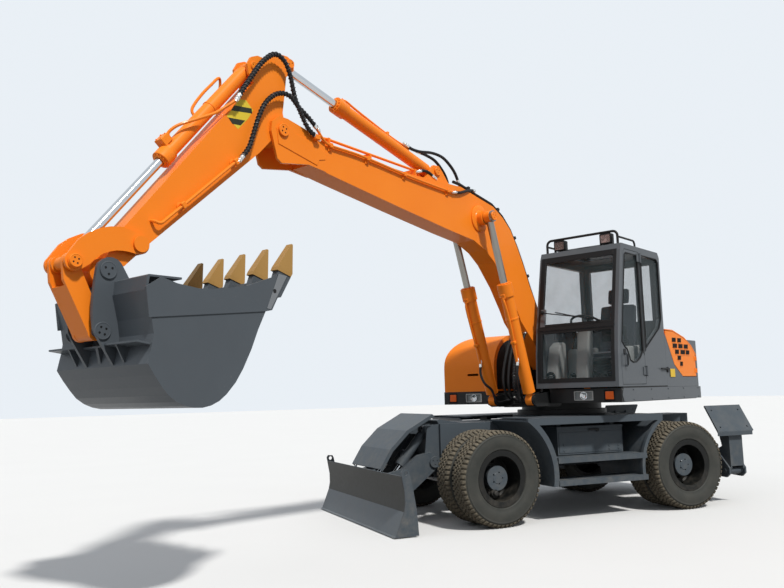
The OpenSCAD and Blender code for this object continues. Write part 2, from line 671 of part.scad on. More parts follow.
// Outline of a louvred side door, in front of it the slanted edge of the grey panel
louvre_door = [[-1440, 1556], [-975, 1556], [-720, 1704], [-490, 2060], [-490, hood_z - sheet_t - 8],
  [-722, hood_z - sheet_t - 8], [-1095, hood_z - sheet_t - 86], [-1322, hood_z - sheet_t - 186],
  [-1440, hood_z - sheet_t - 280]];
module engine_hood() {
  hw = upper_hw - 2;
  color(orange) upper() {
    difference() {
      side(-hw + sheet_t + seat, hw - sheet_t - seat) polygon(hood_line);
      // Inside, the opening under the lid, and the openings behind the louvred doors
      side(-hw + sheet_t + 40, hw - sheet_t - 40) polygon(concat([[-1500 + sheet_t, sill_z - 1], [-470 - sheet_t,
        sill_z - 1]], [for (i = [2 : len(hood_line) - 1]) inset(hood_line, sheet_t)[i]]));
      side(-hw, hw) polygon([[-1501, hood_z - 318], [-490, hood_z - 318], [-490, hood_z + 1], [-1501, hood_z + 1]]);
      side(-hw, hw) polygon([[-1486, sill_z + 30], [-484, sill_z + 30], [-484, hood_z - 300], [-1486, hood_z - 300]]);
    }
  }
}
module side_panels() {
  color(slate) upper() both() side(upper_hw - 2 - sheet_t, upper_hw - 2) polygon([[-1500, sill_z], [-456, sill_z],
    [-456, 2094], [-714, 1696], [-972, 1548], [-1448, 1548], [-1448, 1840], [-1500, 1812]]);
}
module engine_lid() {
  hw = upper_hw - 2;
  color(orange) upper() {
    side(-hw, hw) difference() {
      polygon([[-1496, hood_z - 306], [-1330, hood_z - 180], [-1100, hood_z - 80], [-720, hood_z],
        [-496, hood_z], [-496, hood_z - sheet_t], [-722, hood_z - sheet_t], [-1095, hood_z - 79 - sheet_t],
        [-1322, hood_z - 179 - sheet_t], [-1485, hood_z - 306 - sheet_t + 4]]);
    }
    for (y = [-700, 580]) translate([-478, y, hood_z + 12]) rotate([-90, 0, 0]) cylinder(r = 11, h = 120);
    for (y = [-690, 590]) block([-560, y, hood_z], [-478, y + 100, hood_z + 8]);
  }
}
module louvre_door(s) {
  hw = upper_hw - 2;
  color(orange) upper() mirror([0, s < 0 ? 1 : 0, 0]) {
    side(hw - sheet_t, hw) difference() {
      polygon(louvre_door);
      for (p = slots) translate([p[0] - p[2], p[1]]) square([p[2], 42]);
    }
    for (z = [1600, 1760]) translate([-1446, hw + 8, z]) cylinder(r = 8, h = 60);
    for (z = [1602, 1762]) block([-1446, hw, z], [-1400, hw + 6, z + 56]);
  }
}
module louvre_door_left() { louvre_door(1); }
module louvre_door_right() { louvre_door(-1); }
module hood_round(w, h, r) {
  square([w - r, h]);
  square([w, h - r]);
  translate([w - r, h - r]) circle(r = r, $fn = 72);
}
// Hood beside the boom, drawn d smaller all round, with its underside at the height base
front_hood_w = 780;
module front_hood_solid(d, base) {
  long = bumper_x + 435 - 2 * d;
  high = hood_z - d - base;
  // Front top edge rounded in the side view, outer top edge rounded in the front view
  intersection() {
    side(-upper_hw, -upper_hw + front_hood_w) translate([-450 + d, base]) hood_round(long, high, 430 - d);
    translate([-450 + d, 0, 0]) rotate([90, 0, 90]) linear_extrude(long)
      translate([-upper_hw + front_hood_w - d, base]) mirror([1, 0]) hood_round(front_hood_w - 2 * d, high, 330 - d);
  }
}
module front_hood() {
  color(orange) upper() difference() {
    front_hood_solid(0, sill_z);
    front_hood_solid(sheet_t, sill_z - 1);
    // Slot of the handle
    block([bumper_x - 50, -860, 1625], [bumper_x + 20, -690, 1652]);
  }
}
module bumper() {
  upper() {
    color(black) for (y = [[boom_cyl_y + 80, upper_hw], [-upper_hw, -450]]) difference() {
      block([bumper_x - 60, y[0], skirt_z], [bumper_x, y[1], skirt_z + skirt_h]);
      block([bumper_x - 61, y[0] + 12, skirt_z + 12], [bumper_x - 12, y[1] - 12, skirt_z + skirt_h - 12]);
      // Lamp openings
      for (k = y[0] > 0 ? [[640, 890], [1020, 1150]] : [[-890, -640], [-1150, -1020]])
        block([bumper_x - 13, k[0], skirt_z + 20], [bumper_x + 1, k[1], skirt_z + skirt_h - 20]);
    }
    color(slate) both() difference() {
      block([-skirt_rear, upper_hw - 40, skirt_z], [bumper_x - 60 - seat, upper_hw, skirt_z + skirt_h]);
      block([-skirt_rear + 10, upper_hw - 41, skirt_z + 10], [bumper_x - 70, upper_hw - 10, skirt_z + skirt_h - 10]);
    }
  }
}
module lamps() {
  color(lit) upper() for (s = [-1, 1]) {
    block([bumper_x - 60, min(s * 645, s * 885), skirt_z + 25], [bumper_x + 4, max(s * 645, s * 885), skirt_z + 135]);
    block([bumper_x - 60, min(s * 1025, s * 1145), skirt_z + 25],
      [bumper_x + 4, max(s * 1025, s * 1145), skirt_z + 135]);
  }
}

// Cab, with its side view running anticlockwise
cab_z = 1441;
cab_side = [[-450, cab_z], [905, cab_z], [880, 1850], [840, 2150], [665, 3010], [630, cab_top], [-400, cab_top],
  [-445, cab_top - 60]];
door_outline = [[door_rear, cab_z + 20], [800, cab_z + 20], [812, 1700], [800, 1957], [590, 3000], [555, 3030],
  [door_rear, 3030]];
door_window = [[door_rear + 50, 1850], [300, 1770], [409, 1722], [500, 1716], [570, 1740], [640, 1860], [700, 1890],
  [770, 1945], [565, 2960], [530, 2985], [door_rear + 50, 2985]];
rear_window = [[120, 1890], [-300, 2140], [-375, 2260], [-385, 2960], [-340, 3000], [120, 3000]];
front_split = 2140;
module cab_shell() {
  out_y = upper_hw;
  color(slate) upper() difference() {
    side(cab_in_y, out_y) polygon(cab_side);
    side(cab_in_y + cab_t, out_y - cab_t) polygon(inset(cab_side, cab_t));
    // Windscreen opening, door opening, side, right and rear windows
    block([500, cab_in_y + 50, cab_z + 80], [1000, out_y - 50, front_split - 25]);
    block([500, cab_in_y + 50, front_split + 25], [1000, out_y - 50, 2985]);
    side(out_y - cab_t - 1, out_y + 1) polygon(door_outline);
    side(out_y - cab_t - 1, out_y + 1) polygon(rear_window);
    side(cab_in_y - 1, cab_in_y + cab_t + 1) polygon([[-330, 2150], [780, 2150], [640, 2960], [-330, 2960]]);
    block([-500, cab_in_y + 110, 2250], [-380, out_y - 110, 2950]);
    // Roof hatch
    block([0, cab_in_y + 250, cab_top - 90], [460, out_y - 250, cab_top + 30]);
  }
}
// Pane between two heights of the cab's front face
module front_pane(z0, z1, y0, y1) {
  x = function(z) z < 2150 ? 880 + (1850 - z) * (z < 1850 ? 25 / 409 : 40 / 300) : 840 - (z - 2150) * 175 / 860;
  side(y0, y1) polygon([[x(z0) - 30, z0], [x(z0) - 24, z0], [x(z1) - 24, z1], [x(z1) - 30, z1]]);
}
module cab_glass() {
  out_y = upper_hw;
  g = seat;
  color(lit) upper() {
    front_pane(cab_z + 80 + g, front_split - 25 - g, cab_in_y + 50 + g, out_y - 50 - g);
    front_pane(front_split + 25 + g, 2985 - g, cab_in_y + 50 + g, out_y - 50 - g);
    side(out_y - 10 - glass_t, out_y - 10) polygon(inset(reversed(rear_window), g));
    side(cab_in_y + 10, cab_in_y + 10 + glass_t) polygon([[-330 + g, 2150 + g], [780 - g, 2150 + g],
      [640 - g, 2960 - g], [-330 + g, 2960 - g]]);
    block([-430, cab_in_y + 110 + g, 2250 + g], [-430 + glass_t, out_y - 110 - g, 2950 - g]);
    block([g, cab_in_y + 250 + g, cab_top - 60], [460 - g, out_y - 250 - g, cab_top - 52]);
  }
}
module cab_interior() {
  y = cab_in_y + (upper_hw - cab_in_y) / 2;
  z = cab_z + cab_t + seat;
  upper() {
    color(black) {
      // Seat with its base, cushion and back
      block([-220, y - 200, z], [180, y + 200, z + 260]);
      block([-260, y - 250, z + 260], [260, y + 250, z + 380]);
      side(y - 240, y + 240) polygon([[-150, z + 380], [-250, z + 380], [-370, z + 1000], [-290, z + 1010]]);
      side(y - 150, y + 150) polygon([[-290, z + 1010], [-370, z + 1000], [-385, z + 1190], [-325, z + 1200]]);
    }
    color("#b4b6b2") {
      // Steering column, consoles and the pedal plate
      side(y - 65, y + 65) polygon([[620, z], [760, z], [620, z + 640], [540, z + 640]]);
      block([-260, y - 400, z], [330, y - 262, z + 420]);
      block([-260, y + 262, z], [330, y + 400, z + 420]);
    }
    color(black) {
      translate([560, y, z + 690]) rotate([0, -28, 0]) rotate_extrude() translate([180, 0]) circle(r = 15);
      translate([560, y, z + 690]) rotate([0, -28, 0]) for (a = [0 : 120 : 240]) rotate([0, 90, a])
        cylinder(r = 12, h = 172);
      translate([560, y, z + 690]) rotate([0, -28, 0]) translate([0, 0, -64]) cylinder(r = 36, h = 80);
      for (s = [-1, 1]) translate([250, y + s * 330, z + 420]) {
        cylinder(r = 14, h = 130);
        translate([0, 0, 130]) cylinder(r = 24, h = 90);
      }
    }
  }
}
function unit(v) = v / norm(v);
// Matrix that takes x, y and z to the directions a, b and c, from the point o
function placed(o, a, b, c) = [[a[0], b[0], c[0], o[0]], [a[1], b[1], c[1], o[1]], [a[2], b[2], c[2], o[2]],
  [0, 0, 0, 1]];
// Length that a bend of radius d takes off each side of corner i
function bend_cut(p, i, d) = i == 0 || i == len(p) - 1 ? 0
  : d * tan(acos(unit(p[i] - p[i - 1]) * unit(p[i + 1] - p[i])) / 2);
// Pipe of radius r along the points p, with every corner bent to radius d and drawn thinner by the bend
module pipe(p, r, d) {
  for (i = [0 : len(p) - 2]) {
    u = unit(p[i + 1] - p[i]);
    a = abs(u[2]) < 0.9 ? unit(cross(u, [0, 0, 1])) : unit(cross(u, [1, 0, 0]));
    multmatrix(placed(p[i] + u * bend_cut(p, i, d), a, cross(u, a), u))
      cylinder(r = r, h = norm(p[i + 1] - p[i]) - bend_cut(p, i, d) - bend_cut(p, i + 1, d));
  }
  for (i = [1 : 1 : len(p) - 2]) {
    u = unit(p[i] - p[i - 1]);
    v = unit(p[i + 1] - p[i]);
    n = unit(v - (u * v) * u);
    multmatrix(placed(p[i] - u * bend_cut(p, i, d) + n * d, -n, u, cross(-n, u)))
      rotate_extrude(angle = acos(u * v)) translate([d, 0]) circle(r = r - seat);
  }
}
module roof_guard() {
  y0 = cab_in_y + 60;
  y1 = upper_hw - 60;
  color(black) upper() {
    pipe([[580, y0, cab_top + seat], [580, y0, cab_top + 160], [580, y1, cab_top + 160], [580, y1, cab_top + seat]],
      15, 60);
    for (y = [y0, y1]) pipe([[120, y, cab_top + seat], [120, y, cab_top + 90], [578, y, cab_top + 90]], 12, 50);
    for (y = [y0 + 120, y1 - 200]) {
      block([520, y, cab_top + 40], [600, y + 110, cab_top + 130]);
      block([540, y + 45, cab_top + seat], [580, y + 65, cab_top + 42]);
    }
  }
}
module door() {
  color(slate) upper() {
    side(upper_hw - door_t, upper_hw) difference() {
      polygon(inset(door_outline, 6));
      polygon(door_window);
    }
    // Hinge barrels and the handle
    for (z = [1560, 2900]) translate([door_rear - 6, upper_hw + 14, z]) cylinder(r = 14, h = 110);
    for (z = [1570, 2910]) block([door_rear - 6, upper_hw, z], [door_rear + 70, upper_hw + 10, z + 90]);
    color(black) {
      block([704, upper_hw, 1660], [724, upper_hw + 34, 1684]);
      block([704, upper_hw, 1790], [724, upper_hw + 34, 1814]);
      block([704, upper_hw + 22, 1684], [724, upper_hw + 34, 1790]);
    }
  }
}
module door_glass() {
  color(lit) upper() side(upper_hw - 10 - glass_t, upper_hw - 10) polygon(inset(door_window, seat));
}

// Boom, drawn as it stands in the photograph
knee = [1870, 3365];
nose = [nose_x, nose_z];
arm_base = [2600, 3775];
arm_top = [4677, 4335];
boom_line = [[foot_x + 60, foot_z - 100], [1072, 2242], [1163, 2391], [1349, 2646], [1584, 2894], [1760, 3015],
  [1984, 3103], [2430, 3156], [3260, 3272], [4106, 3397], [4480, 3455], [4480, 3750], [4273, 3705], [3193, 3645],
  [2187, 3675], [1887, 3613], [1567, 3554], [1370, 3450], [1212, 3321], [1080, 3130], [959, 2924], [820, 2653],
  [foot_x - 95, foot_z + 60]];
module boom() {
  color(orange) upper() difference() {
    union() {
      plate_box(boom_line, boom_hw, boom_t);
      // Foot boss, knee boss with its doublers, arm cylinder ears and the forked nose
      cross_pin(foot, 100, -foot_hw, foot_hw);
      both() {
        cross_pin(knee, 150, boom_hw, boom_hw + 8);
        cross_pin(knee, 82, boom_hw, boom_cyl_y - 40 - play);
        side(boom_hw - 50, boom_hw - 20) polygon([[2380, 3660], [2820, 3650], [2740, 3740], [2650, 3835], [2560, 3840],
          [2500, 3790]]);
        side(arm_hw + 8, boom_hw + 12) polygon([[4280, 3425], [4500, 3450], [4810, 3400], [4860, 3430],
          nose + [125, -30], nose + [115, 60], nose + [40, 120], nose + [-60, 118], [4300, 3715]]);
      }
      cross_pin(arm_base, pin_r - 6, -boom_hw + 12, boom_hw - 12);
      cross_pin(nose, pin_r + 2, -boom_hw - 26, boom_hw + 26);
    }
    cross_pin(foot, pin_r + 8 + seat, -400, 400);
  }
}
boom_len = 1390;
module boom_barrels() {
  color(orange) upper() for (s = [-1, 1]) translate([0, s * boom_cyl_y, 0])
    cylinder_barrel(cyl_base, knee, boom_len, boom_cyl_r, boom_rod_r, 62, 80, pin_r);
}
module boom_rods() {
  upper() for (s = [-1, 1]) translate([0, s * boom_cyl_y, 0]) {
    rod(cyl_base, knee, boom_len - 120, boom_rod_r, 60, 80, pin_r);
    // Pin of the eye with its outer collar
    cross_pin(knee, pin_r, -40, 40);
    if (s > 0) cross_pin(knee, 64, 40, 62);
    else cross_pin(knee, 64, -62, -40);
  }
}
arm_cyl_len = 1480;
module arm_barrel() {
  color(orange) upper() cylinder_barrel(arm_base, arm_top, arm_cyl_len, arm_cyl_r, 38, 56, 2 * (boom_hw - 50) - 12,
    pin_r - 6);
}
module arm_rod() { upper() rod(arm_base, arm_top, arm_cyl_len - 120, 38, 52, 90, pin_r - 6 + play); }

// Arm and its linkage
bucket_pin = [6420, 2304];
link_pin = [6455, 1890];
rocker_pin = [6155, 2522];
joint_pin = [6640, 2350];
buck_base = [5085, 4190];
arm_line = [[4850, 3640], [5030, 3448], [6061, 2539], [6250, 2360], [6400, 2390], [6240, 2660],
  [5047, 4088], [5000, 4240], [4880, 4290], [4720, 4250], [4740, 4073], [4770, 3860], [4740, 3750], [4760, 3640]];
module arm() {
  color(orange) upper() difference() {
    union() {
      plate_box(arm_line, arm_hw, boom_t);
      cross_pin(nose, 110, -arm_hw, arm_hw);
      cross_pin(bucket_pin, 92, -arm_hw - 12, arm_hw + 12);
      cross_pin(rocker_pin, 72, -arm_hw - 12, arm_hw + 12);
      both() {
        // Ears of the two cylinders
        side(arm_hw - 40, arm_hw - 12) polygon([[4720, 4200], [4960, 4230], [4850, 4390], [4700, 4400], [4620, 4370],
          [4625, 4290]]);
        side(arm_hw - 24, arm_hw) polygon([[4900, 4150], [5060, 4020], [5140, 4110], [5155, 4190], [5115, 4262],
          [5045, 4295], [4880, 4290]]);
        cross_pin(rocker_pin, pin_r - 4, arm_hw, arm_hw + 70);
        cross_pin(rocker_pin, 60, arm_hw + 56, arm_hw + 70);
        cross_pin(bucket_pin, pin_r, arm_hw, arm_hw + 96);
      }
      cross_pin(arm_top, pin_r - 6, -arm_hw + 12, arm_hw - 12);
      cross_pin(buck_base, pin_r - 8, -arm_hw + 12, arm_hw - 12);
    }
    cross_pin(nose, pin_r + 2 + seat, -400, 400);
    cross_pin(arm_top, 60, -50, 50);
    // Room for the eyes of the two cylinders
    side(-arm_hw + 40, arm_hw - 40) polygon([[4560, 4480], [4560, 4240], [4700, 4235], [4760, 4240], [4770, 4480]]);
  }
}
bucket_len = 1270;
module bucket_barrel() {
  color(orange) upper() cylinder_barrel(buck_base, joint_pin, bucket_len, bucket_cyl_r, 34, 46, 100, pin_r - 8);
}
module bucket_rod() { upper() rod(buck_base, joint_pin, bucket_len - 120, 34, 44, 90, pin_r - 6 + play); }
module rocker() {
  color(orange) upper() difference() {
    union() {
      both() side(arm_hw + 24, arm_hw + 50) {
        polygon([[6110, 2475], [6182, 2448], [6240, 2457], [6291, 2459], [6340, 2455], [6384, 2443], [6432, 2424],
          [6474, 2397], [6533, 2339], [6590, 2300], [6700, 2330], [6694, 2385], [6651, 2446], [6607, 2505],
          [6538, 2557], [6455, 2599], [6382, 2619], [6294, 2627], [6230, 2612], [6150, 2592], [6105, 2570]]);
        translate(rocker_pin) circle(r = 72);
        translate(joint_pin) circle(r = 66);
      }
      both() cross_pin(joint_pin, 50, arm_hw + 24, arm_hw + 66);
    }
    cross_pin(rocker_pin, pin_r - 4 + seat, -400, 400);
  }
}
module bucket_link() {
  color(orange) upper() difference() {
    union() {
      both() {
        side(arm_hw - 20, arm_hw + 10) {
          polygon([[6588, 2345], [6520, 2200], [6425, 1990], [6398, 1905], [6410, 1850], [6458, 1832], [6510, 1872],
            [6690, 2225], [6702, 2345]]);
          translate(joint_pin) circle(r = 62);
          translate(link_pin) circle(r = 60);
        }
        cross_pin(joint_pin, 58, 56, arm_hw - 20);
      }
      // Front plate of the box
      side(-arm_hw + 20, arm_hw - 20) polygon([[6500, 1856], [6514, 1880], [6671, 2189], [6659, 2195], [6490, 1868]]);
      cross_pin(link_pin, 58, -arm_hw + 20, arm_hw - 20);
    }
    cross_pin(link_pin, pin_r - 4 + seat, -400, 400);
  }
}
function along2(a, b, k) = a + (b - a) * k;
// Side view of the bucket: its mouth from the top corner to the lip, then the wrap round to the back
bucket_mouth = [[6392, 2150], [6279, 2222], [6158, 2190], [5987, 2170], [5822, 2180], [5574, 2225], [5340, 2308],
  [5190, 2330], [5342, 2062], [5398, 2050]];
bucket_wrap = [[5398, 2050], [5469, 1912], [5530, 1770], [5606, 1628], [5673, 1530], [5751, 1450], [5812, 1405],
  [5880, 1376], [5948, 1363], [6015, 1365], [6080, 1378], [6150, 1406], [6214, 1450], [6264, 1508], [6320, 1582],
  [6368, 1655], [6340, 1777], [6329, 1850], [6346, 1957], [6392, 2150]];
bucket_side = concat(bucket_mouth, [for (i = [1 : len(bucket_wrap) - 2]) bucket_wrap[i]]);
// Middle of tooth k across the bucket
function tooth_y(k) = (k - (teeth - 1) / 2) * (2 * bucket_hw - 78) / (teeth - 1);
module bucket() {
  ear = arm_hw + 60;
  wrap_in = inset(bucket_wrap, bucket_t);
  last = len(bucket_wrap) - 1;
  color(slate) upper() {
    both() {
      side(bucket_hw - bucket_t, bucket_hw - 8) polygon(bucket_side);
      // Doubler along the mouth
      side(bucket_hw - 8, bucket_hw) polygon(concat(bucket_mouth, [[6367, 1952]]));
    }
    side(-bucket_hw + bucket_t, bucket_hw - bucket_t) {
      polygon(concat([for (i = [0 : last - 1]) bucket_wrap[i]], [[6388, 2133], [6366, 2139]],
        [for (i = [last - 1 : -1 : 1]) wrap_in[i]], [[5420, 2061]]));
      // Lip that carries the teeth
      polygon([[5190, 2330], [5342, 2062], [5398, 2050], [5420, 2061], [5365, 2085], [5232, 2322]]);
    }
    // Ears with their bores, ledges and gussets
    both() {
      side(ear, ear + 30) difference() {
        polygon([[6254, 2225], [6262, 2262], [6325, 2364], [6352, 2384], [6387, 2395], [6425, 2393], [6460, 2376],
          [6488, 2350], [6501, 2318], [6511, 2241], [6525, 2117], [6527, 2000], [6514, 1897], [6484, 1843],
          [6368, 1660], [6350, 1700], [6330, 1777], [6321, 1850], [6340, 1957], [6376, 2133], [6350, 2225]]);
        translate(bucket_pin) circle(r = pin_r + seat);
      }
      side(ear + 30, bucket_hw - bucket_t) {
        polygon([[6330, 1777], [6330, 1790], [6440, 1806], [6440, 1794]]);
        polygon([[6368, 2135], [6382, 2135], [6372, 2228], [6360, 2236], [6110, 2236], [6110, 2222], [6354, 2222]]);
      }
      side(-ear, ear) polygon([[6330, 1777], [6330, 1790], [6400, 1800], [6400, 1788]]);
      for (y = [[ear + 150, 6432], [0, 6392]]) side(y[0], y[0] + 16) polygon([[6330, 1778], [y[1], 1796], [6360, 1660]]);
    }
    cross_pin(link_pin, pin_r - 4, -arm_hw - 96, arm_hw + 96);
    // Adapters of the teeth, welded round the lip
    for (k = [0 : teeth - 1]) translate([0, tooth_y(k), 0]) side(-32, 32) polygon([[5150, 2325], [5250, 2165],
      [5300, 2180], [5335, 2200], [5262, 2392], [5218, 2415], [5185, 2400], [5155, 2368]]);
  }
}
// Pointed caps on the adapters
module bucket_tips() {
  color(steel) upper() for (k = [0 : teeth - 1]) translate([0, tooth_y(k), 0]) difference() {
    intersection() {
      side(-39, 39) polygon([[5137, 2352], [5153, 2330 - seat], [5290, 2372], [5277, 2400], [5137, 2588], [5122, 2584]]);
      translate([5200, 0, 2350]) rotate([0, -24, 0]) rotate([90, 0, 90]) translate([0, 0, -200]) linear_extrude(400)
        polygon([[-39, -80], [39, -80], [39, 20], [27, 300], [-27, 300], [-39, 20]]);
    }
    side(-32 - seat, 32 + seat) polygon([[5145, 2325], [5250, 2165], [5345, 2200], [5264, 2394], [5218, 2418],
      [5183, 2403], [5151, 2370]]);
  }
}
// Steel pipes along the top of the boom, held by brackets on its top flange
boom_brackets = [
  // x of the bracket and height of the top flange there
  [2950, 3659], [3640, 3675], [4200, 3702]];
module boom_pipes() {
  color(orange) upper() {
    for (y = [-70, 70]) pipe([[2860, y, 3672], [2930, y, 3722], [4210, y, 3765], [4330, y, 3752]], 13, 60);
    for (b = boom_brackets) block([b[0] - 12, -95, b[1] + seat], [b[0] + 12, 95, b[1] + 72]);
  }
}
// Hose clamped along the boom's back, with its clamps on the flange below it
hose_y = 85;
hose_r = 17;
hose_line = [[2290, 3722], [2180, 3716], [1878, 3652], [1552, 3590], [1342, 3480], [1180, 3338], [1046, 3148],
  [924, 2942], [784, 2670], [520, 2215]];
hose_clamps = [1, 3, 5, 7];
module boom_hose() {
  color(black) upper() {
    pipe([for (p = hose_line) [p[0], hose_y, p[1]]], hose_r, 90);
    for (i = hose_clamps) {
      m = (hose_line[i] + hose_line[i + 1]) / 2;
      u = unit(hose_line[i + 1] - hose_line[i]);
      // Each clamp stands on the flange
      difference() {
        multmatrix([[u[0], 0, u[1], m[0]], [0, 1, 0, hose_y], [u[1], 0, -u[0], m[1]], [0, 0, 0, 1]])
          block([-16, -30, -62], [16, 30, 26]);
        side(hose_y - 31, hose_y + 31) polygon(inset(boom_line, -seat));
      }
    }
  }
}
pipe_out = 50;
module arm_pipes() {
  color(orange) upper() for (s = [-1, 1]) {
    y = s * (arm_hw + pipe_out);
    pipe([[5000, y, 3570], [5140, y, 3452], [5985, y, 2700], [6035, y, 2712]], 12, 40);
    for (k = [0.2, 0.75]) {
      q = along2([5140, y, 3452], [5985, y, 2700], k);
      translate([q[0], s > 0 ? y + 17 : -arm_hw - seat, q[2]]) rotate([90, 0, 0])
        cylinder(r = 20, h = pipe_out + 17 - seat);
    }
  }
}
chassis_frame();
front_axle();
rear_axle();
side_steps();
tool_boxes();
slew_ring();
knuckle_left();
knuckle_right();
tie_rod();
tyres_front_left();
tyres_front_right();
tyres_rear_left();
tyres_rear_right();
wheel_front_left();
wheel_front_right();
wheel_rear_left();
wheel_rear_right();
blade();
cowl();
blade_barrels();
blade_rods();
outrigger_left();
outrigger_right();
outrigger_barrel_left();
outrigger_barrel_right();
outrigger_rod_left();
outrigger_rod_right();
platform();
counterweight();
engine_block();
engine_hood();
side_panels();
engine_lid();
louvre_door_left();
louvre_door_right();
front_hood();
bumper();
lamps();
cab_shell();
cab_glass();
cab_interior();
roof_guard();
door();
door_glass();
boom();
boom_barrels();
boom_rods();
arm_barrel();
arm_rod();
arm();
bucket_barrel();
bucket_rod();
rocker();
bucket_link();
bucket();
bucket_tips();
boom_pipes();
boom_hose();
arm_pipes();
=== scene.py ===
import math
import bpy
from mathutils import Matrix, Vector


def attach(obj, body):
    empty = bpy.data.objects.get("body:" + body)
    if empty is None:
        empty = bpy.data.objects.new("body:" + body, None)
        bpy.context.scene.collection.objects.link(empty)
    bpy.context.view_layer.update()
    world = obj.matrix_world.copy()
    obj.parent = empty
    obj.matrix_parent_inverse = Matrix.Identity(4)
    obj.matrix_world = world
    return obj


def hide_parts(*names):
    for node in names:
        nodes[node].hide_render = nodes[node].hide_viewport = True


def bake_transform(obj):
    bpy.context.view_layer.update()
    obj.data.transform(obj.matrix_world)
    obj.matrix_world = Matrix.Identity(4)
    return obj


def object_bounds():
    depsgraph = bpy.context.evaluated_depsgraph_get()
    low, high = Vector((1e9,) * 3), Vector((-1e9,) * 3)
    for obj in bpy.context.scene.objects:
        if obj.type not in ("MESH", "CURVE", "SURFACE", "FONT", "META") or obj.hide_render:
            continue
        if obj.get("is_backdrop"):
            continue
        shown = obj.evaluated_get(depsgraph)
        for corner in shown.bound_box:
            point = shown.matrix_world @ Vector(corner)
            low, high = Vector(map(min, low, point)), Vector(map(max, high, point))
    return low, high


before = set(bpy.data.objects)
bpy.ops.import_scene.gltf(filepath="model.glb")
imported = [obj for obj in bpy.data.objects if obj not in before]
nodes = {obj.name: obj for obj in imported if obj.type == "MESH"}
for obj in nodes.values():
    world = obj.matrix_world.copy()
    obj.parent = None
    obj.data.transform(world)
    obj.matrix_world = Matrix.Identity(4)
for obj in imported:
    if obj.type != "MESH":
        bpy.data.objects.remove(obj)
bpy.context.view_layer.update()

# ---------------------------------------------------------------- places and directions
# Both take places measured from the slew axis into the CAD's frame, whose origin is the middle of the
# machine's plan: GROUND those along the chassis, UPPER those along the slewed upper body
GROUND = Matrix.Translation((-1.958, -0.783, 0))
SLEW = math.radians(26.5)
UPPER = GROUND @ Matrix.Rotation(SLEW, 4, "Z")
SAME_SIDE = Matrix.Identity(4)
OTHER_SIDE = Matrix.Scale(-1, 4, (0, 1, 0))
SIDES = ((1, "left", SAME_SIDE), (-1, "right", OTHER_SIDE))
# Outer faces of the cab's side, the arm's side and the bumper's front, the cab's middle, floor and
# roof, and the boom cylinders' distance from the middle plane
CAB_SIDE, ARM_SIDE, BUMPER = 1.2302, 0.1003, 0.851
CAB_Y, CAB_FLOOR, ROOF = 0.7075, 1.4963, 3.0905
BOOM_CYLINDER_Y = 0.255


def mm(*points):
    """Points given in millimetres"""
    return [tuple(value / 1000 for value in point) for point in points]


def moved(x, y, z):
    return Matrix.Translation((x, y, z))


def rotated(degrees, axis):
    return Matrix.Rotation(math.radians(degrees), 4, axis)


# ---------------------------------------------------------------- camera
CAMERA_PLACE = (3.97, 7.866, 1.42)
CAMERA_ANGLES = (-112.665, 7.233, -1.495)
SENSOR, LENS, SIGHT = 36, 36.29, 200
yaw, pitch, roll = (math.radians(a) for a in CAMERA_ANGLES)
look = Vector((math.cos(yaw) * math.cos(pitch), math.sin(yaw) * math.cos(pitch), math.sin(pitch)))
level = Vector((math.sin(yaw), -math.cos(yaw), 0))
high = level.cross(look)
right = math.cos(roll) * level + math.sin(roll) * high
over = -math.sin(roll) * level + math.cos(roll) * high
camera = bpy.data.objects.new("camera", bpy.data.cameras.new("camera"))
bpy.context.scene.collection.objects.link(camera)
camera.data.sensor_width, camera.data.lens, camera.data.clip_end = SENSOR, LENS, SIGHT
turned_to = Matrix([[right[i], over[i], -look[i]] for i in range(3)]).to_4x4()
camera.matrix_world = moved(*CAMERA_PLACE) @ turned_to
bpy.context.scene.camera = camera
bpy.context.scene.view_settings.view_transform = "Standard"

# ---------------------------------------------------------------- finishes
COAT_ROUGHNESS = 0.12
DUST, WORN_PAINT, DRY_SOIL = (0.33, 0.29, 0.235), (0.16, 0.15, 0.145), (0.24, 0.215, 0.175)
# Rays that see the floor and the backdrop pale
RAYS = ("Is Camera Ray", "Is Glossy Ray", "Is Transmission Ray")


class Socket:
    """A shader value that takes Python arithmetic"""

    def __init__(self, finish, out):
        self.finish, self.out = finish, out

    def do(self, operation, a, b):
        return self.finish.node("ShaderNodeMath", {"operation": operation}, {0: a, 1: b})

    def __add__(self, other):
        return self.do("ADD", self, other)

    def __radd__(self, other):
        return self.do("ADD", other, self)

    def __sub__(self, other):
        return self.do("SUBTRACT", self, other)

    def __rsub__(self, other):
        return self.do("SUBTRACT", other, self)

    def __mul__(self, other):
        return self.do("MULTIPLY", self, other)

    def __truediv__(self, other):
        return self.do("DIVIDE", self, other)

    def held(self):
        """Kept between 0 and 1"""
        return self.finish.node("ShaderNodeClamp", {}, {0: self})

    def most(self, other):
        return self.do("MAXIMUM", self, other)


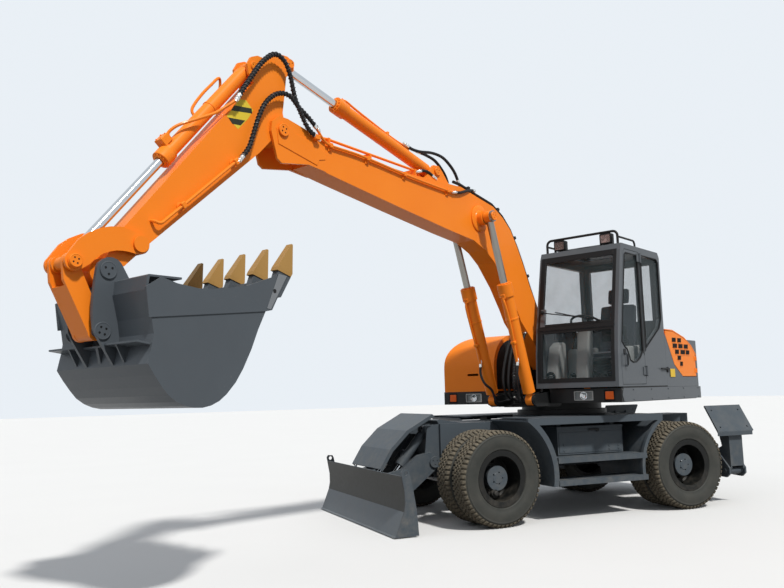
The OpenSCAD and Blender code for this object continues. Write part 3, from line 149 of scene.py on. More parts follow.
class Finish:
    """A paint, metal, rubber or glass with its nodes"""

    def __init__(self, name, rough=0.5, metal=0.0, coat=0.0):
        self.material = bpy.data.materials.new(name)
        self.material.use_nodes = True
        self.tree = self.material.node_tree
        self.shader = next(n for n in self.tree.nodes if n.type == "BSDF_PRINCIPLED")
        self.set(Roughness=rough, Metallic=metal, Coat_Weight=coat, Coat_Roughness=COAT_ROUGHNESS,
            Specular_IOR_Level=0.5 if metal else 0.3)
        self.place = self.node("ShaderNodeTexCoord", {}, {}, "Object")

    def node(self, kind, settings, sockets, out=0):
        n = self.tree.nodes.new(kind)
        for key, value in settings.items():
            setattr(n, key, value)
        for key, value in sockets.items():
            if isinstance(value, Socket):
                self.tree.links.new(value.out, n.inputs[key])
            else:
                n.inputs[key].default_value = value
        return Socket(self, n.outputs[out])

    def noise(self, scale, detail=4.0, rough=0.5):
        return self.node("ShaderNodeTexNoise", {}, {"Vector": self.place, "Scale": scale,
                "Detail": detail, "Roughness": rough})

    def spots(self, scale, detail, rough, threshold, contrast):
        """Noise above a threshold, spread over 0 to 1"""
        return ((self.noise(scale, detail, rough) - threshold) * contrast).held()

    def mix(self, share, a, b):
        def full(c):
            return (*c, 1) if isinstance(c, tuple) else c
        return self.node("ShaderNodeMix", {"data_type": "RGBA"}, {0: share, 6: full(a), 7: full(b)}, 2)

    def height(self):
        return self.node("ShaderNodeSeparateXYZ", {}, {0: self.place}, "Z")

    def upward(self):
        geometry = self.node("ShaderNodeNewGeometry", {}, {}, "Normal")
        return self.node("ShaderNodeSeparateXYZ", {}, {0: geometry}, "Z")

    def set(self, **sockets):
        for key, value in sockets.items():
            socket = self.shader.inputs[key.replace("_", " ")]
            if isinstance(value, Socket):
                self.tree.links.new(value.out, socket)
            elif isinstance(value, tuple):
                socket.default_value = (*value, 1)
            else:
                socket.default_value = value

    def bump(self, height, strength=0.3, distance=0.002):
        self.set(Normal=self.node("ShaderNodeBump", {}, {"Height": height, "Strength": strength,
                    "Distance": distance}))


def floor_finish():
    """Floor that is pale to the eye, in chrome and through glass, and throws little light back"""
    f = Finish("floor", rough=0.9)
    path = [f.node("ShaderNodeLightPath", {}, {}, way) for way in RAYS]
    pale = f.mix(f.noise(0.7) * 0.5, (0.72, 0.72, 0.71), (0.77, 0.77, 0.76))
    f.set(Base_Color=f.mix(path[0].most(path[1]).most(path[2]), (0.2, 0.19, 0.18), pale))
    return f.material


def paint(name, colour, shade, dust=0.25, rough=0.38, coat=0.15, low=0.0, chips=0.0):
    """Sprayed paint: slight colour drift, orange-peel bump, dust on top and low down, worn spots"""
    f = Finish(name, rough=rough, coat=coat)
    tone = f.mix(f.noise(2.2, 5.0), colour, shade)
    up = (f.upward() * 0.8 + 0.05).held()
    patches = f.spots(9.0, 8.0, 0.65, 0.42, 3.0)
    settled = up * patches * dust
    if low:
        settled = (settled + ((low - f.height()) * (0.9 / low)).held() * patches * dust * 1.6).held()
    body = f.mix(settled, tone, DUST)
    if chips:
        worn = f.spots(46.0, 6.0, 0.7, 0.64, 24.0) * f.spots(3.1, 3.0, 0.5, 0.5, 6.0)
        body = f.mix(worn * chips, body, WORN_PAINT)
    f.set(Base_Color=body, Roughness=(rough + settled * 0.5 + (f.noise(30.0) - 0.5) * 0.12).held(),
        Specular_IOR_Level=0.16)
    f.bump(f.noise(420.0, 2.0) * 0.4 + f.noise(1100.0, 2.0) * 0.2, 0.12, 0.0006)
    return f.material


orange = paint("orange_enamel", (0.95, 0.258, 0.018), (0.88, 0.212, 0.012), dust=0.08, rough=0.45,
    coat=0.05)
slate = paint("slate_enamel", (0.07, 0.086, 0.1), (0.058, 0.071, 0.083), dust=0.22, rough=0.45,
    coat=0.05, low=1.0, chips=0.5)
slate_upper = paint("slate_cab_enamel", (0.094, 0.104, 0.114), (0.08, 0.089, 0.098), dust=0.12,
    rough=0.38, coat=0.1)
black = paint("black_enamel", (0.01, 0.011, 0.012), (0.016, 0.016, 0.016), dust=0.2, rough=0.45,
    coat=0.05, low=1.0)
bucket_steel = paint("bucket_enamel", (0.082, 0.096, 0.11), (0.07, 0.081, 0.092), dust=0.2, rough=0.42,
    coat=0.08, chips=0.7)
rim_black = paint("rim_enamel", (0.007, 0.008, 0.008), (0.011, 0.011, 0.01), dust=0.14, rough=0.45,
    coat=0.05, low=0.6)


def chrome_finish(name, tint, rough):
    f = Finish(name, rough=rough, metal=1.0)
    f.set(Base_Color=f.mix(f.noise(8.0), tint, tuple(c * 0.86 for c in tint)))
    f.set(Roughness=(rough + (f.noise(60.0, 6.0) - 0.5) * 0.08).held())
    f.bump(f.noise(900.0, 2.0), 0.05, 0.0003)
    return f.material


chrome = chrome_finish("rod_chrome", (0.6, 0.62, 0.64), 0.14)
# The boom rods' metal is rougher than the chrome, and its darker, browner tint is painted shade
shaded_dull_rod = chrome_finish("dull_rod_painted_shade", (0.3, 0.285, 0.26), 0.34)
steel = chrome_finish("bare_steel", (0.42, 0.41, 0.4), 0.38)


def rubber_finish(name, colour, dust, low):
    f = Finish(name, rough=0.86)
    patches = f.spots(14.0, 8.0, 0.65, 0.4, 2.6)
    height = ((low - f.height()) / low).held()
    settled = (patches * (0.25 + height * 0.9) * dust).held()
    f.set(Base_Color=f.mix(settled, colour, DRY_SOIL))
    f.set(Roughness=(0.82 + settled * 0.12).held())
    f.bump(f.noise(160.0, 5.0), 0.25, 0.0015)
    return f.material


def tyre_finish():
    """Dark sidewalls and a tread with dried soil, told apart by the mesh's own mark"""
    f = Finish("tyre_rubber", rough=0.82)
    tread = f.node("ShaderNodeAttribute", {"attribute_name": "tread"}, {}, "Fac")
    film = f.spots(5.0, 6.0, 0.6, 0.35, 2.0)
    soil = f.spots(38.0, 6.0, 0.6, 0.36, 3.4)
    wall = f.mix(film, (0.03, 0.032, 0.028), (0.062, 0.06, 0.052))
    f.set(Base_Color=f.mix((tread * (0.3 + soil * 0.7)).held(), wall, (0.17, 0.142, 0.1)))
    f.set(Roughness=(0.62 + film * 0.15 + tread * 0.2).held())
    f.bump(f.noise(190.0, 4.0) * 0.6 + f.noise(60.0, 4.0) * tread * 0.6, 0.22, 0.0012)
    return f.material


tyre_rubber = tyre_finish()
black_rubber = rubber_finish("seal_rubber", (0.014, 0.014, 0.015), 0.2, 1.0)


def glass_finish():
    f = Finish("cab_glass", rough=0.03)
    f.set(Base_Color=(0.07, 0.1, 0.105), IOR=1.45)
    smear = f.spots(3.0, 6.0, 0.6, 0.45, 1.4)
    f.set(Alpha=(0.16 + smear * 0.1).held(), Roughness=(0.03 + smear * 0.1).held())
    return f.material


glass = glass_finish()


def plastic(name, colour, rough=0.6):
    f = Finish(name, rough=rough)
    f.set(Base_Color=f.mix(f.noise(5.0), colour, tuple(c * 0.8 for c in colour)),
        Specular_IOR_Level=0.2)
    f.bump(f.noise(700.0, 3.0), 0.2, 0.0006)
    return f.material


trim_black = plastic("trim_black", (0.009, 0.0095, 0.01), 0.55)
trim_grey = plastic("trim_grey", (0.36, 0.37, 0.36), 0.6)
lens_clear = plastic("lamp_clear", (0.72, 0.74, 0.74), 0.12)
tooth_steel = paint("tooth_bronze", (0.46, 0.27, 0.085), (0.33, 0.185, 0.055), dust=0.2, rough=0.5,
    coat=0.0, chips=0.9)

# ---------------------------------------------------------------- finishes of the CAD's own pieces
dressed = {
    black_rubber: ("boom_hose",),
    tooth_steel: ("bucket_tips",),
    orange: ("boom", "boom_pipes", "boom_barrels", "arm", "arm_pipes", "arm_barrel", "bucket_barrel",
        "rocker", "bucket_link", "front_hood", "engine_hood", "engine_lid", "louvre_door_left",
        "louvre_door_right"),
    slate: ("chassis_frame", "front_axle", "rear_axle", "side_steps", "tool_boxes", "knuckle_left",
        "knuckle_right", "blade", "cowl", "blade_barrels", "outrigger_left", "outrigger_right",
        "outrigger_barrel_left", "outrigger_barrel_right"),
    slate_upper: ("cab_shell", "door", "side_panels", "counterweight"),
    bucket_steel: ("bucket",),
    # The slew ring's black paint also stands in as painted shade under the upper body
    black: ("platform", "bumper", "roof_guard", "slew_ring", "engine_block", "wheel_front_left",
        "wheel_front_right", "wheel_rear_left", "wheel_rear_right"),
    shaded_dull_rod: ("boom_rods",),
    chrome: ("arm_rod", "bucket_rod", "blade_rods", "outrigger_rod_left", "outrigger_rod_right"),
    steel: ("tie_rod",),
    tyre_rubber: ("tyres_front_left", "tyres_front_right", "tyres_rear_left", "tyres_rear_right"),
    glass: ("cab_glass", "door_glass"),
    trim_grey: ("cab_interior",),
    lens_clear: ("lamps",),
}
for material, names in dressed.items():
    for name in names:
        if not nodes[name].data.materials:
            nodes[name].data.materials.append(material)
        for slot in nodes[name].material_slots:
            slot.link = "OBJECT"
            slot.material = material

# ---------------------------------------------------------------- workshop
WELD = 0.00002
SHARP = math.radians(30)


def nothing_chosen():
    if bpy.context.object and bpy.context.object.mode != "OBJECT":
        bpy.ops.object.mode_set(mode="OBJECT")
    bpy.ops.object.select_all(action="DESELECT")


def choose(piece):
    nothing_chosen()
    piece.select_set(True)
    bpy.context.view_layer.objects.active = piece


def open_up(piece):
    choose(piece)
    bpy.ops.object.mode_set(mode="EDIT")
    bpy.ops.mesh.select_all(action="SELECT")


def close_up():
    bpy.ops.mesh.select_all(action="SELECT")
    bpy.ops.mesh.remove_doubles(threshold=WELD)
    bpy.ops.mesh.delete_loose()
    bpy.ops.mesh.select_all(action="SELECT")
    bpy.ops.mesh.normals_make_consistent(inside=False)
    bpy.ops.object.mode_set(mode="OBJECT")


def with_modifier(piece, kind, **settings):
    choose(piece)
    modifier = piece.modifiers.new("shaping", kind)
    for key, value in settings.items():
        setattr(modifier, key, value)
    bpy.ops.object.modifier_apply(modifier=modifier.name)
    return piece


def edged(piece, width, steps=1):
    """Sharp edges are broken"""
    return with_modifier(piece, "BEVEL", width=width, segments=steps, limit_method="ANGLE",
        angle_limit=SHARP)


def drawn(name, points, filled):
    """Corners of a circle moved to the drawing's points"""
    nothing_chosen()
    fill = "NGON" if filled else "NOTHING"
    bpy.ops.mesh.primitive_circle_add(vertices=len(points), radius=1, fill_type=fill)
    piece = bpy.context.object
    piece.name = name
    for corner, point in zip(piece.data.vertices, points):
        corner.co = point
    return piece


def plate(name, outline, y0, y1, edge=0.0, steps=1):
    """A plate cut to a side view's outline of (x, z), from y0 to y1 across"""
    piece = drawn(name, [(x, y0, z) for x, z in outline], True)
    open_up(piece)
    bpy.ops.mesh.extrude_region_move(TRANSFORM_OT_translate={"value": (0, y1 - y0, 0)})
    close_up()
    return edged(piece, edge, steps) if edge else piece


def turned(name, profile, steps=40, ring=False):
    """The profile of (radius, height) spun about the upright axis; a ring's profile closes on itself"""
    piece = drawn(name, [(r, 0, h) for r, h in profile], False)
    if not ring:
        for vertex in piece.data.vertices:
            vertex.select = False
        for edge in piece.data.edges:
            edge.select = set(edge.vertices) == {0, len(profile) - 1}
        choose(piece)
        bpy.ops.object.mode_set(mode="EDIT")
        bpy.ops.mesh.select_mode(type="EDGE")
        bpy.ops.mesh.delete(type="EDGE")
        bpy.ops.mesh.select_mode(type="VERT")
    open_up(piece)
    bpy.ops.mesh.spin(steps=steps, angle=math.tau, center=(0, 0, 0), axis=(0, 0, 1))
    close_up()
    return piece


def rod(name, radius, length, sides=24, edge=0.0):
    """A bar along the upright axis from 0 to its length"""
    nothing_chosen()
    bpy.ops.mesh.primitive_cylinder_add(vertices=sides, radius=radius, depth=length)
    piece = bpy.context.object
    piece.name = name
    piece.data.transform(moved(0, 0, length / 2))
    return edged(piece, edge) if edge else piece


def box_outline(a0, b0, a1, b1, corner=0.0):
    """A rectangle, with rounded corners if they are given a radius"""
    if not corner:
        return [(a0, b0), (a1, b0), (a1, b1), (a0, b1)]
    out = []
    for a, b, start in ((a1 - corner, b0 + corner, -90), (a1 - corner, b1 - corner, 0),
            (a0 + corner, b1 - corner, 90), (a0 + corner, b0 + corner, 180)):
        for k in range(5):
            angle = math.radians(start + 22.5 * k)
            out.append((a + corner * math.cos(angle), b + corner * math.sin(angle)))
    return out


def block(name, low, high, edge=0.0, steps=1):
    return plate(name, box_outline(low[0], low[2], high[0], high[2]), low[1], high[1], edge, steps)


def smooth_path(points, parts=6):
    """A Catmull-Rom line through the points"""
    points = [Vector(p) for p in points]
    ends = [2 * points[0] - points[1]] + points + [2 * points[-1] - points[-2]]
    line = []
    for a, b, c, d in zip(ends, ends[1:], ends[2:], ends[3:]):
        for k in range(parts):
            t = k / parts
            line.append(0.5 * (2 * b + (c - a) * t + (2 * a - 5 * b + 4 * c - d) * t * t
                        + (3 * b - a - 3 * c + d) * t ** 3))
    return line + [points[-1]]


def tube(name, path, radius, sides=8):
    """A round bar or hose along a line of points"""
    curve = bpy.data.curves.new(name, "CURVE")
    curve.dimensions = "3D"
    curve.bevel_depth = radius
    curve.bevel_resolution = max(0, sides // 4 - 1)
    curve.use_fill_caps = True
    spline = curve.splines.new("POLY")
    spline.points.add(len(path) - 1)
    for point, place in zip(spline.points, path):
        point.co = (*place, 1)
    piece = bpy.data.objects.new(name, curve)
    bpy.context.scene.collection.objects.link(piece)
    choose(piece)
    bpy.ops.object.convert(target="MESH")
    return bpy.context.object


def spiral(path, radius, pitch, parts=8):
    """A helix of the given radius round a line of points"""
    line = [Vector(p) for p in path]
    turns, side, out = 0.0, Vector((0, 1, 0)), []
    for a, b in zip(line, line[1:]):
        ahead = (b - a).normalized()
        side = (side - ahead * side.dot(ahead)).normalized()
        up = ahead.cross(side)
        count = max(1, round((b - a).length / pitch * parts))
        for k in range(count):
            angle = turns * math.tau
            out.append(a.lerp(b, k / count) + radius * (math.cos(angle) * side + math.sin(angle) * up))
            turns += (b - a).length / pitch / count
    return out


def joined(pieces, name):
    choose(pieces[0])
    for piece in pieces:
        piece.select_set(True)
    bpy.ops.object.join()
    bpy.context.object.name = name
    return bpy.context.object


def copies(piece, places, name=None):
    """Copies with a mesh each at the given places, joined into one piece in place of the pattern"""
    name = name or piece.name
    out = []
    for place in places:
        copy = piece.copy()
        copy.data = piece.data.copy()
        copy.data.transform(place)
        if place.determinant() < 0:
            copy.data.flip_normals()
        bpy.context.scene.collection.objects.link(copy)
        out.append(copy)
    bpy.data.objects.remove(piece)
    return joined(out, name)


def placed(piece, place):
    piece.data.transform(place)
    if place.determinant() < 0:
        piece.data.flip_normals()
    return piece


def cut(piece, tool):
    """Takes the tool's shape out of the piece"""
    with_modifier(piece, "BOOLEAN", operation="DIFFERENCE", object=tool, solver="EXACT")
    bpy.data.objects.remove(tool)
    return piece


def at(x, y, z, toward=(0, 0, 1), spin=0.0):
    """A place whose upright axis points the given way"""
    return (moved(x, y, z) @ Vector(toward).to_track_quat("Z", "Y").to_matrix().to_4x4()
        @ Matrix.Rotation(spin, 4, "Z"))


def circle_of(count, radius, start=0.0, height=0.0):
    """Places on a circle round the upright axis"""
    return [Matrix.Rotation(start + math.tau * k / count, 4, "Z") @ moved(radius, 0, height)
        for k in range(count)]


def finished(piece, body, material, place=UPPER, angle=34):
    """Puts the mesh in its place, gives it its finish and lets it ride its body, if it has one"""
    placed(piece, place)
    piece.data.materials.clear()
    piece.data.materials.append(material)
    choose(piece)
    bpy.ops.object.shade_smooth_by_angle(angle=math.radians(angle))
    if body:
        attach(piece, body)
    return piece


def bolts(size, height, places):
    return copies(rod("bolt", size, height, 6, 0.001), places)


def barrel_ring(name, radius):
    """A chamfered ring round a cylinder's barrel"""
    outer = radius + 0.0065
    return turned(name, [(radius, -0.012), (outer, -0.008), (outer, 0.008), (radius, 0.012)], 40,
        ring=True)


# ---------------------------------------------------------------- tyres
SIDEWALL = mm((256, 84), (296, 90), (303, 99), (307, 108), (311, 110), (317, 109), (345, 122),
    (375, 127.5), (405, 128), (432, 125), (446, 122), (449, 123.5), (453, 123.5), (456, 120),
    (462, 116), (472, 110), (479, 102), (485, 88), (488, 50))
TREAD_START, TREAD_BLEND = 0.462, 0.016
LUGS = 58
TWIN_HALF_GAP = 0.155
# Places along the chassis, and from the king pin out to the twin wheel's middle
WHEEL_HEIGHT, FRONT_AXLE, REAR_AXLE = 0.505, 1.673, -0.905
KING_PIN_Y, PIN_TO_WHEEL, REAR_WHEEL_Y = 0.6, 0.365, 0.965
STEERED = 5


def tyre_pair():
    profile = list(SIDEWALL) + [(0.489, 0.0)] + [(r, -h) for r, h in reversed(SIDEWALL)]
    parts = [turned("tyre", profile, 96, ring=True)]
    shoulder = plate("lug", mm((470, 117), (468, 122), (482, 119.5), (496, 106), (502.5, 89),
            (504.5, 63), (486, 61), (484, 88)), -0.017, 0.017, 0.003)
    low_block = plate("low_block", mm((487, 3), (504.5, 6), (504.5, 25), (487, 29)), -0.019, 0.019,
        0.0022)
    high_block = plate("high_block", mm((486, 34), (504.5, 36), (504.5, 56), (486, 58)), -0.018, 0.018,
        0.0022)
    step = math.tau / LUGS
    over = Matrix.Rotation(step / 2, 4, "Z") @ Matrix.Scale(-1, 4, (0, 0, 1))
    rows = ((shoulder, 0, 0, 0), (low_block, 0.016, 0.35, 0.15), (high_block, 0.046, -0.35, 0.5))
    for pattern, middle, tilt, shift in rows:
        tilted = moved(0, 0, middle) @ Matrix.Rotation(tilt, 4, "X") @ moved(0, 0, -middle)
        half = [Matrix.Rotation((k + shift) * step, 4, "Z") @ tilted for k in range(LUGS)]
        parts.append(copies(pattern, [place for one in half for place in (one, over @ one)]))
    one = joined(parts, "tyres")
    tread = one.data.attributes.new("tread", "FLOAT", "POINT")
    for mark, vertex in zip(tread.data, one.data.vertices):
        share = (math.hypot(vertex.co.x, vertex.co.y) - TREAD_START) / TREAD_BLEND
        mark.value = min(1.0, max(0.0, share))
    inner = Matrix.Rotation(0.6 * step, 4, "Z") @ moved(0, 0, -TWIN_HALF_GAP)
    return copies(one, [moved(0, 0, TWIN_HALF_GAP), inner], "tyres")


def wheel_place(side, front):
    """A front wheel stands steered about its king pin"""
    face = rotated(-90 * side, "X")
    if front:
        king_pin = GROUND @ moved(FRONT_AXLE, KING_PIN_Y * side, WHEEL_HEIGHT)
        return king_pin @ rotated(STEERED, "Z") @ moved(0, PIN_TO_WHEEL * side, 0) @ face
    return GROUND @ moved(REAR_AXLE, REAR_WHEEL_Y * side, WHEEL_HEIGHT) @ face


# Both rims of a twin wheel with the spacer between them, then the disc and the hub
RIM = mm((236, 252), (262, 256), (297, 256), (302, 251), (303, 243), (297, 240), (290, 243), (282, 240),
    (277, 235), (272, 236), (266, 231), (258, 222), (255, 205), (255, 60), (250, 52), (250, -52),
    (255, -60), (255, -205), (262, -225), (272, -232), (297, -240), (303, -247), (297, -254),
    (270, -252), (243, -230), (243, -20), (225, -10), (160, -6), (122, 0), (122, 10), (160, 8),
    (223, 4), (240, 20), (242, 180), (240, 225))
HUB = mm((0, -100), (118, -100), (122, -90), (122, 120), (129, 123), (131, 127), (131, 164), (128, 168),
    (60, 170), (55, 174), (0, 175))


def wheel(knob_angle, knobbed):
    disc = turned("wheel", RIM, 72, ring=True)
    bolt_circle = circle_of(10, 0.1675, 0.0, 0.006)
    nuts = copies(rod("nut", 0.016, 0.03, 6, 0.002), bolt_circle)
    studs = copies(rod("stud", 0.008, 0.045, 10), bolt_circle)
    hub = turned("hub", HUB, 48)
    for place in circle_of(5, 0.062, 0.6, 0.15):
        cut(hub, placed(rod("hole", 0.0095, 0.1, 14), place))
    knobs = []
    if knobbed:
        knob = turned("knob", mm((0, -5), (40, -5), (45, 2), (45, 52), (40, 60), (30, 62), (28, 85),
                (20, 92), (0, 93)), 24)
        collar = turned("collar", mm((0, -4), (58, -4), (58, 12), (50, 20), (0, 20)), 24)
        knobs.append(placed(joined([knob, collar], "knob"), Matrix.Rotation(knob_angle, 4, "Z")
                @ moved(0.16, 0, 0.112)))
    valve = tube("valve", mm((215, 20, 0), (215, 20, 50), (228, 21, 120), (232, 22, 190)), 0.0055)
    return joined([disc, nuts, studs], "wheel"), hub, joined(knobs + [valve], "knob")


# ---------------------------------------------------------------- wheels
pattern = tyre_pair()
for name, side, front in (
    ("front_left", 1, True),
    ("front_right", -1, True),
    ("rear_left", 1, False),
    ("rear_right", -1, False),
):
    pair = pattern.copy()
    pair.data = pattern.data.copy()
    pair.name = "treaded_tyres_" + name
    bpy.context.scene.collection.objects.link(pair)
    body = "wheel_" + name
    finished(pair, body, tyre_rubber, wheel_place(side, front), 40)
    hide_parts("tyres_" + name)
    rim, hub, knob = wheel(1.32 * side, front)
    rim.name, hub.name, knob.name = "rim_" + name, "hub_cap_" + name, "hub_knob_" + name
    finished(rim, body, rim_black, wheel_place(side, front), 40)
    finished(hub, body, slate, wheel_place(side, front))
    finished(knob, body, black, wheel_place(side, front))
    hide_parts("wheel_" + name)
bpy.data.objects.remove(pattern)

# ---------------------------------------------------------------- cylinders
# Pins of the boom, the arm and the bucket's links as (x, z) along the upper body
foot, knee, nose = mm((400, 1780), (1870, 3365), (4800, 3690))
arm_base, arm_top = (2.6, 3.775), (4.677, 4.335)
cylinder_foot, bucket_base = (1.16, 1.315), (5.085, 4.19)
joint_pin, rocker_pin, bucket_pin, link_pin = mm((6640, 2350), (6155, 2522), (6420, 2304), (6455, 1890))
boom_line, arm_line, bucket_line = (cylinder_foot, knee), (arm_base, arm_top), (bucket_base, joint_pin)


def between(a, b, y, distance, lift=0.0):
    """A place on the line from a to b, pointing along it; lift moves it to the upper side"""
    ahead = Vector((b[0] - a[0], 0, b[1] - a[1])).normalized()
    up = Vector((-ahead.z, 0, ahead.x))
    spot = Vector((a[0], y, a[1])) + ahead * distance + up * lift
    return Matrix([[up.x, 0, ahead.x, spot.x], [0, -1, 0, y], [up.z, 0, ahead.z, spot.z], [0, 0, 0, 1]])


def gland(name, radius, rod_radius, depth):
    """Cylinder head with its lip, a ring of bolts and the wiper round the rod"""
    head = turned(name, [(radius - 0.004, -depth), (radius + 0.01, -depth + 0.006),
            (radius + 0.012, -depth + 0.012), (radius + 0.012, -0.004), (radius + 0.008, 0.0),
            (rod_radius + 0.02, 0.0), (rod_radius + 0.018, 0.01), (rod_radius + 0.004, 0.014),
            (rod_radius + 0.002, 0.006), (rod_radius + 0.002, -depth)], 40, ring=True)
    heads = bolts(0.0085, 0.009, circle_of(12, radius - 0.008, 0.1))
    return joined([head, heads], name)


def port(name, size):
    """Port block with its four bolts"""
    body = block(name, (-size, -size, 0), (size, size, size * 1.5), 0.005)
    spread = size * 0.62
    heads = bolts(0.006, 0.007, [moved(x, y, size * 1.5) for x in (-spread, spread)
            for y in (-spread, spread)])
    return joined([body, heads], name)


def eye_sleeve(name, radius, width, pin, y):
    """Painted rod eye over the plain one"""
    sleeve = turned(name, [(radius + 0.001, -width / 2), (radius + 0.004, -width / 2 + 0.004),
            (radius + 0.004, width / 2 - 0.004), (radius + 0.001, width / 2),
            (radius - 0.001, width / 2), (radius - 0.001, -width / 2)], 40, ring=True)
    return placed(sleeve, at(pin[0], y, pin[1], (0, 1, 0)))


for side, tag, _ in SIDES:
    y = BOOM_CYLINDER_Y * side
    finished(placed(gland("boom_gland_" + tag, 0.074, 0.038, 0.12), between(*boom_line, y, 1.392)),
        "boom_barrels", orange)
    finished(placed(port("boom_port_" + tag, 0.028), between(*boom_line, y, 1.26, -0.05)
            @ rotated(-90, "Y")), "boom_barrels", orange)
    finished(placed(barrel_ring("boom_ring_" + tag, 0.07), between(*boom_line, y, 0.98)),
        "boom_barrels", orange)
    finished(eye_sleeve("boom_eye_" + tag, 0.062, 0.076, knee, y), "boom_rods", orange)
finished(placed(gland("arm_gland", 0.068, 0.038, 0.11), between(*arm_line, 0, 1.482)), "arm_barrel",
    orange)
for name, distance in (("arm_port", 1.4), ("arm_rear_port", 0.42)):
    finished(placed(port(name, 0.026), between(*arm_line, 0, distance, 0.058) @ rotated(90, "Y")),
        "arm_barrel", orange)
finished(placed(gland("bucket_gland", 0.061, 0.034, 0.1), between(*bucket_line, 0, 1.272)),
    "bucket_barrel", orange)
finished(placed(barrel_ring("bucket_ring", 0.056), between(*bucket_line, 0, 0.58)), "bucket_barrel",
    orange)
finished(eye_sleeve("arm_eye", 0.052, 0.086, arm_top, 0), "arm_rod", orange)
finished(eye_sleeve("bucket_eye", 0.044, 0.086, joint_pin, 0), "bucket_rod", orange)


# ---------------------------------------------------------------- pins and their keepers
def keeper(name, radius, height, holes):
    """End cap of a pin with its small holes"""
    cap = turned(name, [(0, 0), (radius, 0), (radius, height - 0.003), (radius - 0.003, height),
            (radius * 0.86, height), (radius * 0.84, height - 0.0015), (0, height - 0.0015)], 36)
    for place in circle_of(holes, radius * 0.46, 0.5, 0.0055):
        cut(cap, placed(rod("hole", radius * 0.15, 0.02, 12), place))
    return cap


def keeper_hole_shade(name, radius, count):
    """Black discs at the bottoms of the holes in a cap, as painted shade"""
    return joined([placed(rod("hole", radius * 0.148, 0.0012, 12), place)
            for place in circle_of(count, radius * 0.46, 0.5, 0.0058)], name)


for pin, y, radius, body, finish, holes in (
    (joint_pin, 0.1662, 0.046, "rocker", orange, 4),
    (rocker_pin, 0.1503, 0.056, "rocker", orange, 3),
    (bucket_pin, 0.1905, 0.062, "bucket", bucket_steel, 3),
    (link_pin, 0.1905, 0.06, "bucket", bucket_steel, 4),
    (nose, 0.1463, 0.056, "boom", orange, 4),
    (arm_base, 0.1085, 0.046, "boom", orange, 3),
    (arm_top, 0.1005, 0.04, "arm", orange, 2),
    (bucket_base, 0.1005, 0.036, "arm", orange, 3),
    (foot, 0.2, 0.05, "boom", orange, 3),
):
    for side, tag, _ in SIDES:
        name = "keeper_%s_%d_%s" % (body, round(1000 * (pin[0] + pin[1])), tag)
        spot = at(pin[0], y * side, pin[1], (0, side, 0))
        finished(placed(keeper(name, radius, 0.012, holes), spot), body, finish)
        # Black discs in the caps' holes are painted shade
        finished(placed(keeper_hole_shade(name + "_holes", radius, holes), spot), body, black)
for side, tag, _ in SIDES:
    finished(placed(keeper("knee_keeper_" + tag, 0.05, 0.014, 3), at(knee[0], 0.3173 * side, knee[1],
                (0, side, 0))), "boom_rods", orange)
    rim = turned("knee_plate_" + tag, mm((60, 0), (152, 0), (152, 6), (146, 10), (94, 10), (86, 18),
            (60, 18)), 56, ring=True)
    finished(placed(rim, at(knee[0], 0.128 * side, knee[1], (0, side, 0))), "boom", orange)
    flange = plate("nose_plate_" + tag, mm((4851, 3562), (4398, 3462), (4373, 3516), (4297, 3535),
            (4280, 3586), (4346, 3625), (4477, 3672), (4557, 3676), (4636, 3690), (4713, 3735),
            (4800, 3755), (4868, 3700)), 0.132 * side, 0.138 * side, 0.002)
    finished(flange, "boom", orange)

# ---------------------------------------------------------------- hoses and hard pipes
hose_black = plastic("hose_rubber", (0.013, 0.013, 0.014), 0.55)
wrap_black = plastic("spiral_wrap", (0.055, 0.055, 0.058), 0.22)
zinc = chrome_finish("zinc_fitting", (0.7, 0.7, 0.68), 0.3)


def fitting(name, size, length=0.085):
    """Crimped ferrule and hexagon nut of a hose end"""
    ferrule = turned("ferrule", [(0, 0), (size * 0.86, 0), (size * 0.94, 0.004),
            (size * 0.86, length * 0.16), (size * 0.94, length * 0.22), (size * 0.86, length * 0.36),
            (size * 0.94, length * 0.42), (size * 0.7, length * 0.52), (0, length * 0.52)], 24)
    nut = placed(rod("nut", size * 0.95, length * 0.3, 6, 0.0015), moved(0, 0, length * 0.56))
    neck = placed(rod("neck", size * 0.6, length * 0.2, 16, 0.001), moved(0, 0, length * 0.82))
    return joined([ferrule, nut, neck], name)


def hose(name, points, radius, body, other=None, wrapped=True):
    """A hose along smooth points, with a spiral guard if it is wrapped and a fitting at each end. One
    that crosses a joint rides no body itself; its first fitting rides its body and its last the other
    one"""
    path = smooth_path(points)
    line = tube(name, path, radius, 12)
    pieces = [(line, hose_black)]
    if wrapped:
        guard = tube(name + "_guard", spiral(path, radius + 0.003, 0.034), 0.0048, 4)
        pieces.append((guard, wrap_black))
    for piece, finish in pieces:
        finished(piece, None if other else body, finish, UPPER, 50)
        if other:
            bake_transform(piece)
    for tag, a, b, own in (
        ("_first_end", path[0], path[1], body),
        ("_last_end", path[-1], path[-2], other or body),
    ):
        spot = at(*(a + (b - a).normalized() * 0.03), tuple(a - b))
        finished(placed(fitting(name + tag, radius * 1.25), spot), own, zinc)


